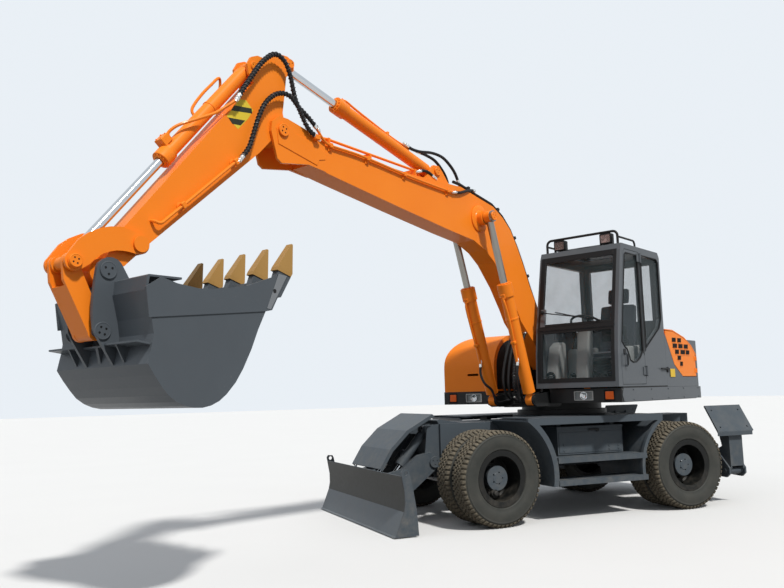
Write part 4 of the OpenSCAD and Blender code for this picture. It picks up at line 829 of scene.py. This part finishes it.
for side, tag, flip in SIDES:
    y = 0.165 * side
    upper_run = mm((4437, 3711), (4524, 3756), (4595, 3849), (4668, 3971), (4698, 4053), (4739, 4200),
        (4800, 4300), (4909, 4330), (5043, 4222), (5186, 4020), (5299, 3843))
    finished(placed(block("hose_bracket_" + tag, (4.4, 0.128, 3.68), (4.46, 0.19, 3.73), 0.006), flip),
        "boom", orange)
    hose("stick_hose_high_" + tag, [(x, y, z) for x, z in upper_run], 0.0185, "boom", "arm")
    lower_run = mm((4430, 3800), (4508, 3858), (4651, 3943), (4730, 4003), (4830, 4006), (4926, 3958),
        (5019, 3858), (5085, 3725), (5137, 3577), (5188, 3443), (5262, 3345))
    hose("stick_hose_low_" + tag, [(x, y - 0.006 * side, z) for x, z in lower_run], 0.0175, "boom",
        "arm")
    # Hard pipe down the arm's side in two clamps
    run = mm((5250, 150, 3357), (5600, 150, 3043), (5975, 150, 2709), (5992, 150, 2700),
        (6010, 147, 2699), (6030, 140, 2708), (6040, 120, 2714), (6044, 100, 2716))
    pipe = tube("arm_side_pipe_" + tag, [(a, b * side, c) for a, b, c in run], 0.0125, 12)
    clamps = [pipe]
    for x, z in ((5.309, 3.302), (5.8, 2.864)):
        post = rod("post", 0.019, 0.052, 6, 0.002)
        base = turned("base", mm((0, 0), (30, 0), (30, 6), (20, 10), (0, 10)), 20)
        cap = block("cap", (-0.022, -0.026, 0.034), (0.022, 0.026, 0.068), 0.005)
        clamps.append(placed(joined([post, base, cap], "clamp"), at(x, ARM_SIDE * side, z, (0, side, 0),
                    0.7)))
    side_pipe = finished(joined(clamps, "arm_side_pipe_" + tag), "arm", orange)
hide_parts("arm_pipes")
# Supply pipe over the bucket cylinder to its port block, and the far one to its rear port
feed = smooth_path(mm((5299, 165, 3843), (5345, 155, 3790), (5427, 120, 3719), (5505, 115, 3662),
        (5673, 100, 3572), (5790, 60, 3512), (5850, 30, 3455), (5858, 20, 3420)), 4)
far = smooth_path(mm((5290, -160, 3845), (5250, -150, 4000), (5285, -110, 4085), (5390, -84, 3985),
        (5480, -80, 3880), (5555, -80, 3770), (5575, -76, 3715), (5560, -60, 3665)), 4)
finished(joined([tube("near", feed, 0.0125, 12), tube("far", far, 0.0125, 12)], "bucket_feed_pipes"),
    "arm", orange)
finished(placed(port("bucket_port", 0.046), between(*bucket_line, 0, 1.13, 0.052) @ rotated(90, "Y")),
    "bucket_barrel", orange)

# Pipe on the arm cylinder's upper side and the short hoses behind it
feed = mm((1400, 100), (1340, 112), (1200, 102), (800, 88), (580, 88), (460, 98), (420, 100))
feed = [tuple(between(*arm_line, 0.0, distance, lift).translation) for distance, lift in feed]
finished(tube("arm_feed", smooth_path(feed, 4), 0.0115, 12), "arm_barrel", orange)
finished(placed(block("arm_feed_clamp", (-0.014, -0.03, 0.062), (0.014, 0.03, 0.104), 0.004),
        between(*arm_line, 0, 0.74) @ rotated(90, "Y")), "arm_barrel", orange)
hose("arm_hose_left", mm((3015, 35, 3985), (2930, 35, 3962), (2790, 35, 3965), (2600, 45, 3990),
        (2430, 55, 3975), (2300, 62, 3905), (2220, 66, 3830), (2170, 70, 3740)), 0.0165, "arm_barrel",
    "boom", wrapped=False)
hose("arm_hose_right", mm((2740, -35, 3990), (2600, -40, 3985), (2430, -55, 3965), (2300, -62, 3895),
        (2220, -66, 3820), (2170, -70, 3735)), 0.0165, "arm_barrel", "boom",
    wrapped=False)
hose("boom_top_hose", mm((2900, 99, 3715), (2820, 99, 3738), (2740, 99, 3734), (2660, 99, 3705)),
    0.0165, "boom", wrapped=False)
for side, tag, _ in SIDES:
    # Pipe under the boom's top flange in its clamps, with the hose that follows it
    run = mm((4430, 165, 3800), (4380, 160, 3742), (4300, 147, 3695), (4200, 142, 3680),
        (3900, 142, 3676), (3600, 142, 3655), (3190, 142, 3618), (2800, 142, 3594), (2450, 142, 3578),
        (2330, 142, 3583))
    pieces = [tube("pipe", smooth_path([(x, b * side, z) for x, b, z in run], 3), 0.0125, 12)]
    for x, z in mm((4230, 3680), (3735, 3664), (3187, 3618), (2470, 3578)):
        foot_plate = plate("foot", box_outline(x - 0.022, z - 0.05, x + 0.022, z + 0.022),
            0.1203 * side, 0.132 * side, 0.002)
        hold = plate("hold", box_outline(x - 0.018, z - 0.022, x + 0.018, z + 0.022), 0.1305 * side,
            0.16 * side, 0.004)
        nut = placed(rod("nut", 0.009, 0.01, 6, 0.001), at(x, 0.132 * side, z - 0.036, (0, side, 0)))
        pieces += [foot_plate, hold, nut]
    finished(joined(pieces, "boom_side_pipe_" + tag), "boom", orange)
    hose("boom_side_hose_" + tag, [(2.345, 0.142 * side, 3.583), (2.24, 0.142 * side, 3.6),
            (2.12, 0.135 * side, 3.64), (2.0, 0.115 * side, 3.672), (1.93, 0.1 * side, 3.684)], 0.0155,
        "boom", wrapped=False)

# Pipes down the boom cylinders, then hoses into the machine
for side, tag, _ in SIDES:
    y = BOOM_CYLINDER_Y * side
    spots = mm((1245, -85, 0), (1200, -98, 10), (1100, -94, 16), (950, -88, 16), (800, -86, 12),
        (660, -86, 4), (560, -88, 0), (480, -94, 0))
    run = [between(*boom_line, y, d, lift).translation + Vector((0, w * side, 0))
        for d, lift, w in spots]
    pipe = tube("boom_cylinder_pipe_" + tag, smooth_path(run, 4), 0.0125, 12)
    clamp = placed(block("clamp", (-0.015, -0.028, 0.064), (0.015, 0.028, 0.108), 0.004),
        between(*boom_line, y, 0.72) @ rotated(-90, "Y"))
    finished(joined([pipe, clamp], "boom_cylinder_pipe_" + tag), "boom_barrels", orange)

# ---------------------------------------------------------------- cab
SWAP = Matrix(((0, 1, 0, 0), (1, 0, 0, 0), (0, 0, 1, 0), (0, 0, 0, 1)))
# Heights at which the front face changes its slope, and where the windows' seals lie
LOW_KINK, HIGH_KINK = 1.85, 2.15
SEAL_SIDE = 1.2295


def facing(name, outline, x0, x1, edge=0.0, steps=1):
    """A plate that faces forward, cut to an outline of (y, z), from x0 to x1"""
    return placed(plate(name, outline, x0, x1, edge, steps), SWAP)


def front_x(z):
    """The cab's front face at a height"""
    if z < LOW_KINK:
        return 0.88 + (LOW_KINK - z) * 0.025 / 0.409
    if z < HIGH_KINK:
        return 0.84 + (HIGH_KINK - z) * 0.04 / 0.3
    return 0.84 - (z - HIGH_KINK) * 0.175 / 0.86


def front_strip(name, y0, y1, z0, z1, proud=0.004, depth=0.03):
    """A strip that follows the front face's slope between two heights"""
    heights = sorted({z0, z1} | {z for z in (LOW_KINK, HIGH_KINK) if z0 < z < z1})
    front = [(front_x(z) + proud, z) for z in heights]
    back = [(front_x(z) - depth, z) for z in reversed(heights)]
    return plate(name, front + back, y0, y1, 0.002)


def window_seal(name, outline):
    return tube(name, [(x, SEAL_SIDE, z) for x, z in [*outline, outline[0]]], 0.01, 8)


seals = []
for z0, z1, up, down in ((1.522, 2.114, 0.0, 0.018), (2.166, 2.984, 0.04, 0.0)):
    for y0, y1, low, high in ((0.208, 0.268, z0 - down, z1 + up), (1.147, 1.19, z0 - down, z1 + up),
            (0.268, 1.147, z1 - 0.03, z1 + up), (0.268, 1.147, z0 - down, z0 + 0.03)):
        seals.append(front_strip("seal", y0, y1, low, high))
seals.append(front_strip("split", 0.208, 1.19, 2.118, 2.164, 0.01, 0.03))
finished(joined(seals, "windscreen_seals"), "upper", trim_black)
finished(front_strip("wiper_corner", 0.237, 0.3, 2.168, 2.385, 0.006, 0.02), "upper", slate_upper)

wiper = [placed(rod("pivot", 0.022, 0.05, 20, 0.003), at(front_x(2.34) + 0.006, 0.262, 2.345,
            (1, 0, 0.12)))]
for name, radius, path in (
    ("arm", 0.007, ((2.34, 0.045, 0.262, 2.345), (2.31, 0.05, 0.4, 2.318), (2.25, 0.032, 0.72, 2.262))),
    ("blade", 0.007, ((2.33, 0.016, 0.44, 2.335), (2.25, 0.016, 0.72, 2.262), (2.2, 0.016, 1.02, 2.2))),
    ("link", 0.009, ((2.3, 0.03, 0.6, 2.288), (2.25, 0.018, 0.72, 2.262))),
):
    wiper.append(tube(name, [(front_x(height) + proud, y, z) for height, proud, y, z in path], radius,
            8))
finished(joined(wiper, "windscreen_wiper"), "upper", trim_black)

DOOR_WINDOW = mm((220, 1850), (300, 1770), (409, 1722), (500, 1716), (570, 1740), (640, 1860),
    (700, 1890), (770, 1945), (565, 2960), (530, 2985), (220, 2985))
REAR_WINDOW = mm((120, 1890), (-300, 2140), (-375, 2260), (-385, 2960), (-340, 3000), (120, 3000))
finished(window_seal("door_window_seal", DOOR_WINDOW), "door", trim_black)
finished(window_seal("rear_window_seal", REAR_WINDOW), "upper", trim_black)
# Black strips on the door's rear frame and the pillar behind the glass are painted shade
finished(plate("door_frame_painted_shade", mm((178, 1800), (216, 1840), (216, 3000), (178, 3000)), CAB_SIDE,
        1.2335, 0.001), "door", trim_black)
finished(plate("pillar_painted_shade", mm((124, 1860), (160, 1840), (160, 3010), (124, 3010)), CAB_SIDE, 1.2335,
        0.001), "upper", trim_black)
latch = [plate("plate", box_outline(-0.5, 1.6, -0.46, 1.668, 0.006), CAB_SIDE, 1.24, 0.002),
    plate("bar", box_outline(-0.5, 1.636, -0.262, 1.656, 0.004), 1.24, 1.252, 0.003)]
finished(joined(latch, "side_panel_latch"), "upper", trim_black)
finished(plate("blank_plate", box_outline(-0.7, 1.545, -0.555, 1.646, 0.004), 1.2352, 1.237, 0.0006),
    "upper", plastic("plate_yellow", (0.8, 0.52, 0.03), 0.45))
grip = [tube("grip", smooth_path(mm((714, 1232, 1668), (714, 1262, 1680), (714, 1266, 1740),
            (714, 1262, 1796), (714, 1232, 1808)), 4), 0.0095, 10),
    plate("cup", box_outline(0.684, 1.8, 0.744, 1.862, 0.01), CAB_SIDE, 1.236, 0.002)]
finished(joined(grip, "door_grip"), "door", trim_black)
hinges = [placed(rod("barrel", 0.0125, 0.12, 16, 0.002), moved(0.163, 1.2445, z))
    for z in (1.555, 2.895)]
finished(joined(hinges, "door_hinge_pins"), "upper", black)

# Lamps in the bumper
amber = plastic("lamp_amber", (0.95, 0.16, 0.012), 0.22)
mirror = chrome_finish("lamp_mirror", (0.9, 0.91, 0.92), 0.1)
frame_grey = plastic("lamp_frame", (0.5, 0.51, 0.5), 0.4)
for _, tag, flip in SIDES:
    bezel = facing("headlamp_" + tag, box_outline(0.645, 1.293, 0.885, 1.401, 0.012), BUMPER - 0.05,
        BUMPER + 0.003, 0.002)
    cut(bezel, facing("hole", box_outline(0.655, 1.302, 0.875, 1.392, 0.01), BUMPER - 0.025,
            BUMPER + 0.02))
    bowl = turned("headlamp_bowl_" + tag, mm((0, -22), (20, -20), (34, -12), (41, -1), (44, -1),
            (38, -16), (22, -24), (0, -26)), 40)
    bowl = placed(bowl, at(BUMPER - 0.001, 0.765, 1.347, (1, 0, 0)))
    pane = facing("headlamp_glass_" + tag, box_outline(0.656, 1.303, 0.874, 1.391, 0.008),
        BUMPER - 0.004, BUMPER - 0.002)
    back = facing("headlamp_back_" + tag, box_outline(0.655, 1.302, 0.875, 1.392), BUMPER - 0.0245,
        BUMPER - 0.0235)
    for piece, finish in ((bezel, frame_grey), (bowl, mirror), (back, frame_grey), (pane, glass)):
        finished(placed(piece, flip), "upper", finish)
    marker = facing("marker_" + tag, box_outline(1.025, 1.293, 1.145, 1.401, 0.01), BUMPER - 0.05,
        BUMPER - 0.002, 0.003)
    finished(placed(marker, flip), "upper", trim_black)
    lens = [facing("lens", box_outline(1.036, 1.303, 1.134, 1.391, 0.008), BUMPER - 0.003,
            BUMPER + 0.006, 0.003, 2)]
    lens += [facing("rib", box_outline(1.04, 1.312 + 0.012 * k, 1.13, 1.316 + 0.012 * k),
            BUMPER + 0.005, BUMPER + 0.008) for k in range(6)]
    lens = finished(placed(joined(lens, "marker_lens_" + tag), flip), "upper", amber)
    if flip is SAME_SIDE:
        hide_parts("lamps")

# Work lamps, hatch and hoop on the roof
for tag, y in (("left", 1.025), ("right", 0.42)):
    housing = facing("work_lamp_" + tag, box_outline(y - 0.072, 3.112, y + 0.072, 3.232, 0.014), 0.516,
        0.603, 0.004, 2)
    cut(housing, facing("hole", box_outline(y - 0.06, 3.124, y + 0.06, 3.22, 0.01), 0.592, 0.62))
    finished(housing, "upper", trim_black)
    finished(facing("work_lamp_glass_" + tag, box_outline(y - 0.0595, 3.1245, y + 0.0595, 3.2195, 0.01),
            0.5915, 0.6, 0.002), "upper", plastic("lamp_frosted_" + tag, (0.46, 0.36, 0.34), 0.2))
    bracket = [block("bracket", (0.535, y + low, z0), (0.585, y + high, z1), 0.001)
        for low, high, z0, z1 in ((-0.079, -0.073, 3.091, 3.19), (0.073, 0.079, 3.091, 3.19),
            (-0.079, 0.079, 3.0903, 3.097))]
    finished(joined(bracket, "work_lamp_bracket_" + tag), "upper", black)
hatch = [block("lid", (-0.02, 0.42, ROOF), (0.48, 0.995, 3.135), 0.014, 3),
    tube("handle", smooth_path(mm((485, 600, 3112), (512, 605, 3116), (515, 700, 3118),
            (512, 805, 3116), (485, 810, 3112)), 4), 0.008, 8)]
hatch[0] = cut(hatch[0], block("hole", (0.03, 0.47, 3.05), (0.43, 0.945, 3.2)))
finished(joined(hatch, "roof_hatch"), "upper", slate_upper)

# ---------------------------------------------------------------- inside the cab
def cushion(name, low, high, crown, cuts=14):
    """A padded form: crowned on its faces, its sides drawn in between the corners"""
    nothing_chosen()
    bpy.ops.mesh.primitive_cube_add(size=2)
    piece = bpy.context.object
    piece.name = name
    open_up(piece)
    bpy.ops.mesh.subdivide(number_cuts=cuts)
    close_up()
    middle = [(a + b) / 2 for a, b in zip(low, high)]
    half = [(b - a) / 2 for a, b in zip(low, high)]
    for vertex in piece.data.vertices:
        x, y, z = vertex.co
        swell = (1 - x * x) * (1 - y * y)
        pull = 1 - 0.05 * (1 - z * z)
        corner = 1 - 0.035 * (x * x * y * y)
        top = z * (half[2] - crown * (1 - swell) * abs(z))
        groove = 0.006 * math.exp(-((abs(y) - 0.56) / 0.05) ** 2) * max(0.0, z)
        vertex.co = (middle[0] + x * half[0] * pull * corner, middle[1] + y * half[1] * pull * corner,
            middle[2] + top - groove)
    return with_modifier(piece, "SUBSURF", levels=1, render_levels=1)


def seat_cloth():
    f = Finish("seat_cloth", rough=0.92)
    weave = (f.node("ShaderNodeTexWave", {}, {"Vector": f.place, "Scale": 260.0,
                "Distortion": 1.5}) * 0.5 + f.noise(300.0, 3.0) * 0.5)
    f.set(Base_Color=f.mix(f.noise(7.0, 5.0), (0.02, 0.024, 0.034), (0.034, 0.038, 0.05)),
        Sheen_Weight=0.25)
    f.bump(weave, 0.4, 0.0012)
    return f.material


cloth = seat_cloth()
y, z = CAB_Y, CAB_FLOOR
lean = moved(-0.2, y, z + 0.36) @ rotated(-11, "Y")
pads = [cushion("seat_cushion", (-0.25, y - 0.245, z + 0.262), (0.26, y + 0.245, z + 0.385), 0.035)]
seat_back = cushion("seat_back", (-0.3, -0.235, -0.055), (0.3, 0.235, 0.06), 0.035)
head_rest = cushion("head_rest", (-0.095, -0.135, -0.04), (0.095, 0.135, 0.045), 0.025, 10)
for pad, back, height in ((seat_back, 0.02, 0.33), (head_rest, 0.015, 0.745)):
    pads.append(placed(pad, lean @ moved(-back, 0, height) @ rotated(90, "Y")
            @ Matrix.Scale(-1, 4, (1, 0, 0))))
for pad in pads:
    finished(pad, "upper", cloth, UPPER, 60)
base = [block("box", (-0.2, y - 0.19, z), (0.17, y + 0.19, z + 0.11), 0.015, 2)]
base += [block("fold", (-0.18 + 0.01 * (k % 2), y - 0.17 + 0.01 * (k % 2), z + 0.11 + 0.025 * k),
        (0.16 - 0.01 * (k % 2), y + 0.17 - 0.01 * (k % 2), z + 0.136 + 0.025 * k), 0.008)
    for k in range(6)]
finished(joined(base, "seat_base"), "upper", trim_black)
consoles = []
for s in (-1, 1):
    outline = [(-0.27, z), (0.33, z), (0.34, z + 0.36), (0.3, z + 0.42), (0.05, z + 0.425),
        (-0.2, z + 0.45), (-0.27, z + 0.44)]
    inner, outer = sorted((y + s * 0.268, y + s * 0.4))
    consoles.append(plate("console", outline, inner, outer, 0.018, 3))
column = plate("column", [(0.63, z), (0.77, z), (0.665, z + 0.62), (0.6, z + 0.655), (0.545, z + 0.64)],
    y - 0.075, y + 0.075, 0.016, 3)
screen = placed(block("screen", (-0.02, -0.13, -0.09), (0.02, 0.13, 0.09), 0.012, 2),
    moved(0.66, 1.04, z + 0.55) @ rotated(-25, "Z"))
duct = plate("duct", [(0.52, z), (0.79, z), (0.78, z + 0.1), (0.68, z + 0.44), (0.58, z + 0.5),
        (0.52, z + 0.48)], 0.25, 0.4, 0.02, 3)
finished(joined(consoles + [column, duct], "cab_consoles"), "upper", trim_grey)
vents = [placed(turned("vent", mm((30, 0), (62, 0), (66, 6), (62, 12), (52, 10), (46, 3), (30, 3)), 32,
            ring=True), at(0.795, 0.325, z + 0.075, (1, 0, 0.05)))]
vents += [placed(rod("slat", 0.004, 0.1, 8), at(0.8, 0.325 - 0.05, z + 0.045 + 0.02 * k, (0, 1, 0)))
    for k in range(4)]
levers = []
for s in (-1, 1):
    levers.append(tube("stem", [(0.25, y + s * 0.33, z + 0.42), (0.255, y + s * 0.33, z + 0.52),
                (0.262, y + s * 0.328, z + 0.56)], 0.011, 10))
    levers.append(placed(turned("grip", mm((0, 0), (20, 0), (26, 20), (21, 60), (26, 95), (22, 112),
                (0, 118)), 20), moved(0.26, y + s * 0.328, z + 0.55)))
    levers.append(placed(turned("gaiter", mm((16, 80), (26, 70), (24, 55), (36, 45), (33, 30), (46, 18),
                (44, 0), (0, 0)), 24), moved(0.25, y + s * 0.33, z + 0.42)))
nothing_chosen()
bpy.ops.mesh.primitive_torus_add(major_radius=0.185, minor_radius=0.014, major_segments=48,
    minor_segments=12)
rim = bpy.context.object
wheel_parts = [rim] + [tube("spoke", [(0, 0, -0.045), (0.08 * math.cos(a), 0.08 * math.sin(a), -0.02),
            (0.184 * math.cos(a), 0.184 * math.sin(a), 0)], 0.011, 8) for a in (0.6, 2.7, 4.7)]
wheel_parts.append(turned("boss", mm((0, -75), (30, -70), (36, -50), (44, -45), (44, -22), (34, -12),
            (0, -10)), 28))
steering = placed(joined(wheel_parts, "steering_wheel"), moved(0.56, y, z + 0.695) @ rotated(-28, "Y"))
pedals = [placed(block("pedal", (-0.05, -0.035, 0), (0.09, 0.035, 0.014), 0.005, 2),
        moved(0.6, y + dy, z + 0.06) @ rotated(-32, "Y")) for dy in (-0.17, 0.13, 0.22)]
pedals += [tube("rod", [(0.62, y + dy, z + 0.07), (0.66, y + dy, z + 0.0)], 0.01, 8)
    for dy in (-0.17, 0.13, 0.22)]
mat = block("mat", (-0.3, y - 0.42, z + 0.0003), (0.5, y + 0.42, z + 0.01), 0.003)
cab_black = finished(joined(vents + levers + [steering, screen, mat] + pedals, "cab_controls"), "upper",
    trim_black)
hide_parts("cab_interior")

# ---------------------------------------------------------------- upper body details
for _, tag, flip in SIDES:
    skirt = plate("side_skirt_" + tag, mm((-1545, 1272), (800, 1272), (838, 1345), (800, 1424),
            (-1545, 1424)), 1.2303, 1.2345, 0.0015)
    heads = bolts(0.009, 0.007, [at(x, 1.2343, z, (0, 1, 0)) for x in (-1.45, -0.95, -0.45, 0.05, 0.55)
            for z in (1.292, 1.404)])
    finished(placed(joined([skirt, heads], "side_skirt_" + tag), flip), "upper", slate_upper)
# Louvre slots of the side doors as black sheets of painted shade, and a black plate of painted shade on
# the hood's side where the gap beside the front hood shows dark
louvres = mm((-700, 1990, 95), (-715, 1915, 110), (-780, 1840, 95), (-850, 1765, 80), (-920, 1690, 60),
    (-880, 1990, 90), (-900, 1915, 110), (-960, 1840, 120), (-1080, 1915, 110), (-1140, 1840, 90))
# The louvre slots are flat black sheets: painted shade for the dark inside of the slots
louvre_slot_shade = plastic("louvre_slot_painted_shade", (0.004, 0.004, 0.004), 0.9)
for _, tag, flip in SIDES:
    slots = [plate("slot", [(x + 0.02, z - 0.006), (x + 0.01, z + 0.05), (x - w - 0.024, z + 0.052),
                (x - w - 0.016, z - 0.004)], 1.2282, 1.229) for x, z, w in louvres]
    finished(placed(joined(slots, "louvre_slot_shade_" + tag), flip), "louvre_door_" + tag, louvre_slot_shade)
    lips = [plate("lip", [(x + 0.024, z - 0.015), (x + 0.02, z - 0.006), (x - w - 0.016, z - 0.004),
                (x - w - 0.014, z - 0.013)], 1.2282, 1.2345, 0.001) for x, z, w in louvres]
    finished(placed(joined(lips, "louvre_lips_" + tag), flip), "louvre_door_" + tag, orange)
hood_curve = [(0.42 + 0.36 * math.cos(math.radians(a)), 1.72 + 0.36 * math.sin(math.radians(a)))
    for a in range(15, 91, 15)]
hood_side = [(-0.42, 1.45), (0.78, 1.45), (0.78, 1.72), *hood_curve, (-0.42, 2.08)]
# A black plate over the hood's side face is painted shade for the dark gap beside the front hood
finished(plate("hood_side_painted_shade", hood_side, -0.4497, -0.4485, 0.0004), "upper", black)

# Hexagon in yellow with two slanted black bands on the arm's side
outline = mm((5237, 3858), (5168, 3866), (5096, 3799), (5147, 3715), (5253, 3598), (5366, 3680))
bands = [mm((5292, 3791), (5112, 3811), (5106, 3769), (5325, 3739)),
    mm((5352, 3673), (5179, 3690), (5227, 3636), (5310, 3630))]
yellow = plastic("warning_yellow", (0.8, 0.6, 0.05), 0.5)
dark = plastic("warning_black", (0.03, 0.036, 0.022), 0.5)
for _, tag, flip in SIDES:
    finished(placed(plate("hazard_panel_" + tag, outline, ARM_SIDE, ARM_SIDE + 0.001), flip), "arm",
        yellow)
    finished(placed(joined([plate("band", band, ARM_SIDE + 0.001, ARM_SIDE + 0.0015) for band in bands],
                "hazard_bands_" + tag), flip), "arm", dark)

# Hoses between the boom and the slewing platform, and from the boom cylinders' pipes
for k, y in enumerate((-0.09, -0.032, 0.03, 0.088)):
    drop = 0.012 * (k % 2)
    hose("boom_foot_hose_%d" % (k + 1), [(0.93, y, 2.125), (1.01, y, 2.01), (1.09, y * 1.1, 1.84),
            (1.145, y * 1.2, 1.66 - drop), (1.16, y * 1.2, 1.5 - drop), (1.1, y * 1.1, 1.37 - drop),
            (1.0, y, 1.325 - drop), (0.86, y, 1.33)], 0.0155, "boom", "upper",
        wrapped=k == 2)
for side, tag, _ in SIDES:
    top = between(*boom_line, BOOM_CYLINDER_Y * side, 0.48, -0.094).translation
    hose("boom_cylinder_hose_" + tag, [tuple(top), (top.x + 0.015, top.y * 0.98, top.z - 0.11),
            (top.x - 0.01, 0.215 * side, top.z - 0.22), (top.x - 0.1, 0.18 * side, top.z - 0.3),
            (1.24, 0.16 * side, 1.3), (1.08, 0.155 * side, 1.3), (0.9, 0.155 * side, 1.335)], 0.0155,
        "boom_barrels", "upper", wrapped=False)

# ---------------------------------------------------------------- bucket
worn = plastic("worn_edge", (0.21, 0.225, 0.24), 0.42)
wear = plate("side_cutter_wear", mm((5277, 2340), (5196, 2330), (5356, 2066), (5392, 2072)), 0.6163,
    0.6175, 0.0004)
# A black disc on the side cutter is painted shade for its hole
hole = placed(rod("side_cutter_hole_shade", 0.016, 0.0016, 16), at(5.318, 0.617, 2.206, (0, 1, 0)))
for piece, finish in ((wear, worn), (hole, black)):
    finished(piece, "bucket", finish)


# ---------------------------------------------------------------- undercarriage
def serrated(name, x0, x1, y, z, pitch=0.026):
    """Saw-toothed grip edge of a step"""
    tooth = plate("tooth", [(0, 0), (pitch * 0.72, 0), (pitch * 0.55, 0.018), (pitch * 0.17, 0.018)],
        y - 0.006, y, 0.001)
    return copies(tooth, [moved(x0 + pitch * k, 0, z) for k in range(int((x1 - x0) / pitch))], name)


for _, tag, flip in SIDES:
    steps = [serrated("edge", -0.275, 0.86, y, z) for y in (1.2185, 1.06) for z in (0.4225, 0.6665)]
    finished(placed(joined(steps, "step_grips_" + tag), flip), "chassis", slate, GROUND)
    lid = plate("lid", box_outline(-0.122, 0.708, 0.742, 0.94, 0.01), 1.0003, 1.006, 0.002)
    rim = plate("rim", mm((-146, 975), (766, 975), (766, 1004.5), (-146, 1004.5)), 1.0003, 1.0055,
        0.002)
    spots = [(x, z) for x in (-0.07, 0.06) for z in (0.735, 0.77)] + [(0.68, 0.735), (0.68, 0.8)]
    heads = bolts(0.01, 0.008, [at(x, 1.0055, z, (0, 1, 0)) for x, z in spots])
    finished(placed(joined([lid, rim, heads], "tool_box_lid_" + tag), flip), "chassis", slate, GROUND)
    hasp = [plate("hasp", box_outline(0.195, 0.952, 0.335, 0.974, 0.008), 1.0143, 1.022, 0.003, 2),
        plate("staple", box_outline(0.195, 0.935, 0.235, 0.955, 0.006), 1.0055, 1.016, 0.002)]
    finished(placed(joined(hasp, "tool_box_hasp_" + tag), flip), "chassis", trim_black, GROUND)

# Blade's cutting edge and skin, the outriggers' lips, the sills' seals, then the blade's ports and caps
band_paint = paint("blade_edge_enamel", (0.105, 0.122, 0.135), (0.088, 0.102, 0.114), dust=0.3,
    coat=0.05, chips=1.0)
BLADE_HALF = 1.2025
band = plate("cutting_edge", [(2.7522, 0.25), (2.8422, 0.0202), (2.8662, 0.0084), (2.868, 0.0088),
        (2.8436, 0.0212), (2.7535, 0.2505)], -BLADE_HALF, BLADE_HALF)
finished(band, "blade", band_paint, GROUND)
# The blade's face gets a darker, browner paint than the rest of the blade
darker_face_paint = paint("mouldboard_enamel", (0.05, 0.049, 0.044), (0.04, 0.04, 0.037), dust=0.2, rough=0.5,
    coat=0.0, chips=0.6)
face = [(2.7522, 0.252), (2.7382, 0.33), (2.7382, 0.43), (2.77, 0.598)]
skin = plate("mouldboard_skin", face + [(x + 0.001, z) for x, z in reversed(face)], -BLADE_HALF,
    BLADE_HALF)
finished(skin, "blade", darker_face_paint, GROUND)
for side, tag, _ in SIDES:
    lip = plate("outrigger_lip_" + tag, mm((-1960, 815), (-1404, 815), (-1404, 866), (-1960, 866)),
        1.19 * side, 1.199 * side, 0.002)
    finished(lip, "outrigger_" + tag, slate, GROUND)
    seal = block("sill_seal_" + tag, (-1.5, 1.2 * side, 1.4252), (0.8, 1.226 * side, 1.449))
    finished(seal, "upper", trim_black)
for _, tag, flip in SIDES:
    low, top = Vector((2.49, 0.215, 0.46)), Vector((2.045, 0.215, 1.0))
    spot = top + (low - top).normalized() * 0.34 + Vector((0.033, 0, 0.027))
    stub = rod("blade_port_" + tag, 0.013, 0.045, 16, 0.002)
    finished(placed(placed(stub, at(*spot, (0.77, 0, 0.64))), flip), "blade_barrels", slate, GROUND)
    cap = placed(keeper("blade_keeper_" + tag, 0.062, 0.014, 3), at(2.03, 0.4385, 0.65, (0, 1, 0)))
    finished(placed(cap, flip), "blade", slate, GROUND)

# ---------------------------------------------------------------- floor, backdrop and lamps
FLOOR_SIZE, FLOOR_GAP = 160, 0.002
SOFT_LIGHT, SOFT_STRENGTH = (0.8, 0.85, 0.92, 1), 0.48
BACKDROP, BACKDROP_STRENGTH = (0.82, 0.87, 0.92, 1), 1.0
bpy.ops.object.select_all(action="DESELECT")
bpy.ops.mesh.primitive_plane_add(size=FLOOR_SIZE, location=(0, 0, -FLOOR_GAP))
floor = bpy.context.object
floor.name = "floor"
floor.data.materials.append(floor_finish())
floor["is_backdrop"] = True

world = bpy.data.worlds.new("studio")
world.use_nodes = True
bpy.context.scene.world = world
tree = world.node_tree
soft = tree.nodes["Background"]
soft.inputs[0].default_value = SOFT_LIGHT
soft.inputs[1].default_value = SOFT_STRENGTH
# The backdrop that the camera, chrome and glass see is pale, and gives no light
pale = tree.nodes.new("ShaderNodeBackground")
pale.inputs[0].default_value = BACKDROP
pale.inputs[1].default_value = BACKDROP_STRENGTH
path = tree.nodes.new("ShaderNodeLightPath")
seen = [path.outputs[way] for way in RAYS]
most = seen[0]
for other in seen[1:]:
    larger = tree.nodes.new("ShaderNodeMath")
    larger.operation = "MAXIMUM"
    tree.links.new(most, larger.inputs[0])
    tree.links.new(other, larger.inputs[1])
    most = larger.outputs[0]
blend = tree.nodes.new("ShaderNodeMixShader")
tree.links.new(most, blend.inputs[0])
tree.links.new(soft.outputs[0], blend.inputs[1])
tree.links.new(pale.outputs[0], blend.inputs[2])
tree.links.new(blend.outputs[0], tree.nodes["World Output"].inputs[0])


def lamp(name, toward, energy, angle, colour):
    sun = bpy.data.objects.new(name, bpy.data.lights.new(name, "SUN"))
    bpy.context.scene.collection.objects.link(sun)
    sun.data.energy = energy
    sun.data.angle = math.radians(angle)
    sun.data.color = colour
    sun.rotation_mode = "QUATERNION"
    sun.rotation_quaternion = Vector(toward).to_track_quat("-Z", "Y")


lamp("key", (0.1, -0.8, -1.0), 3.3, 5, (1.0, 0.98, 0.95))
lamp("fill", (-0.8, -0.3, -0.5), 0.35, 60, (0.92, 0.96, 1.0))

low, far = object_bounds()
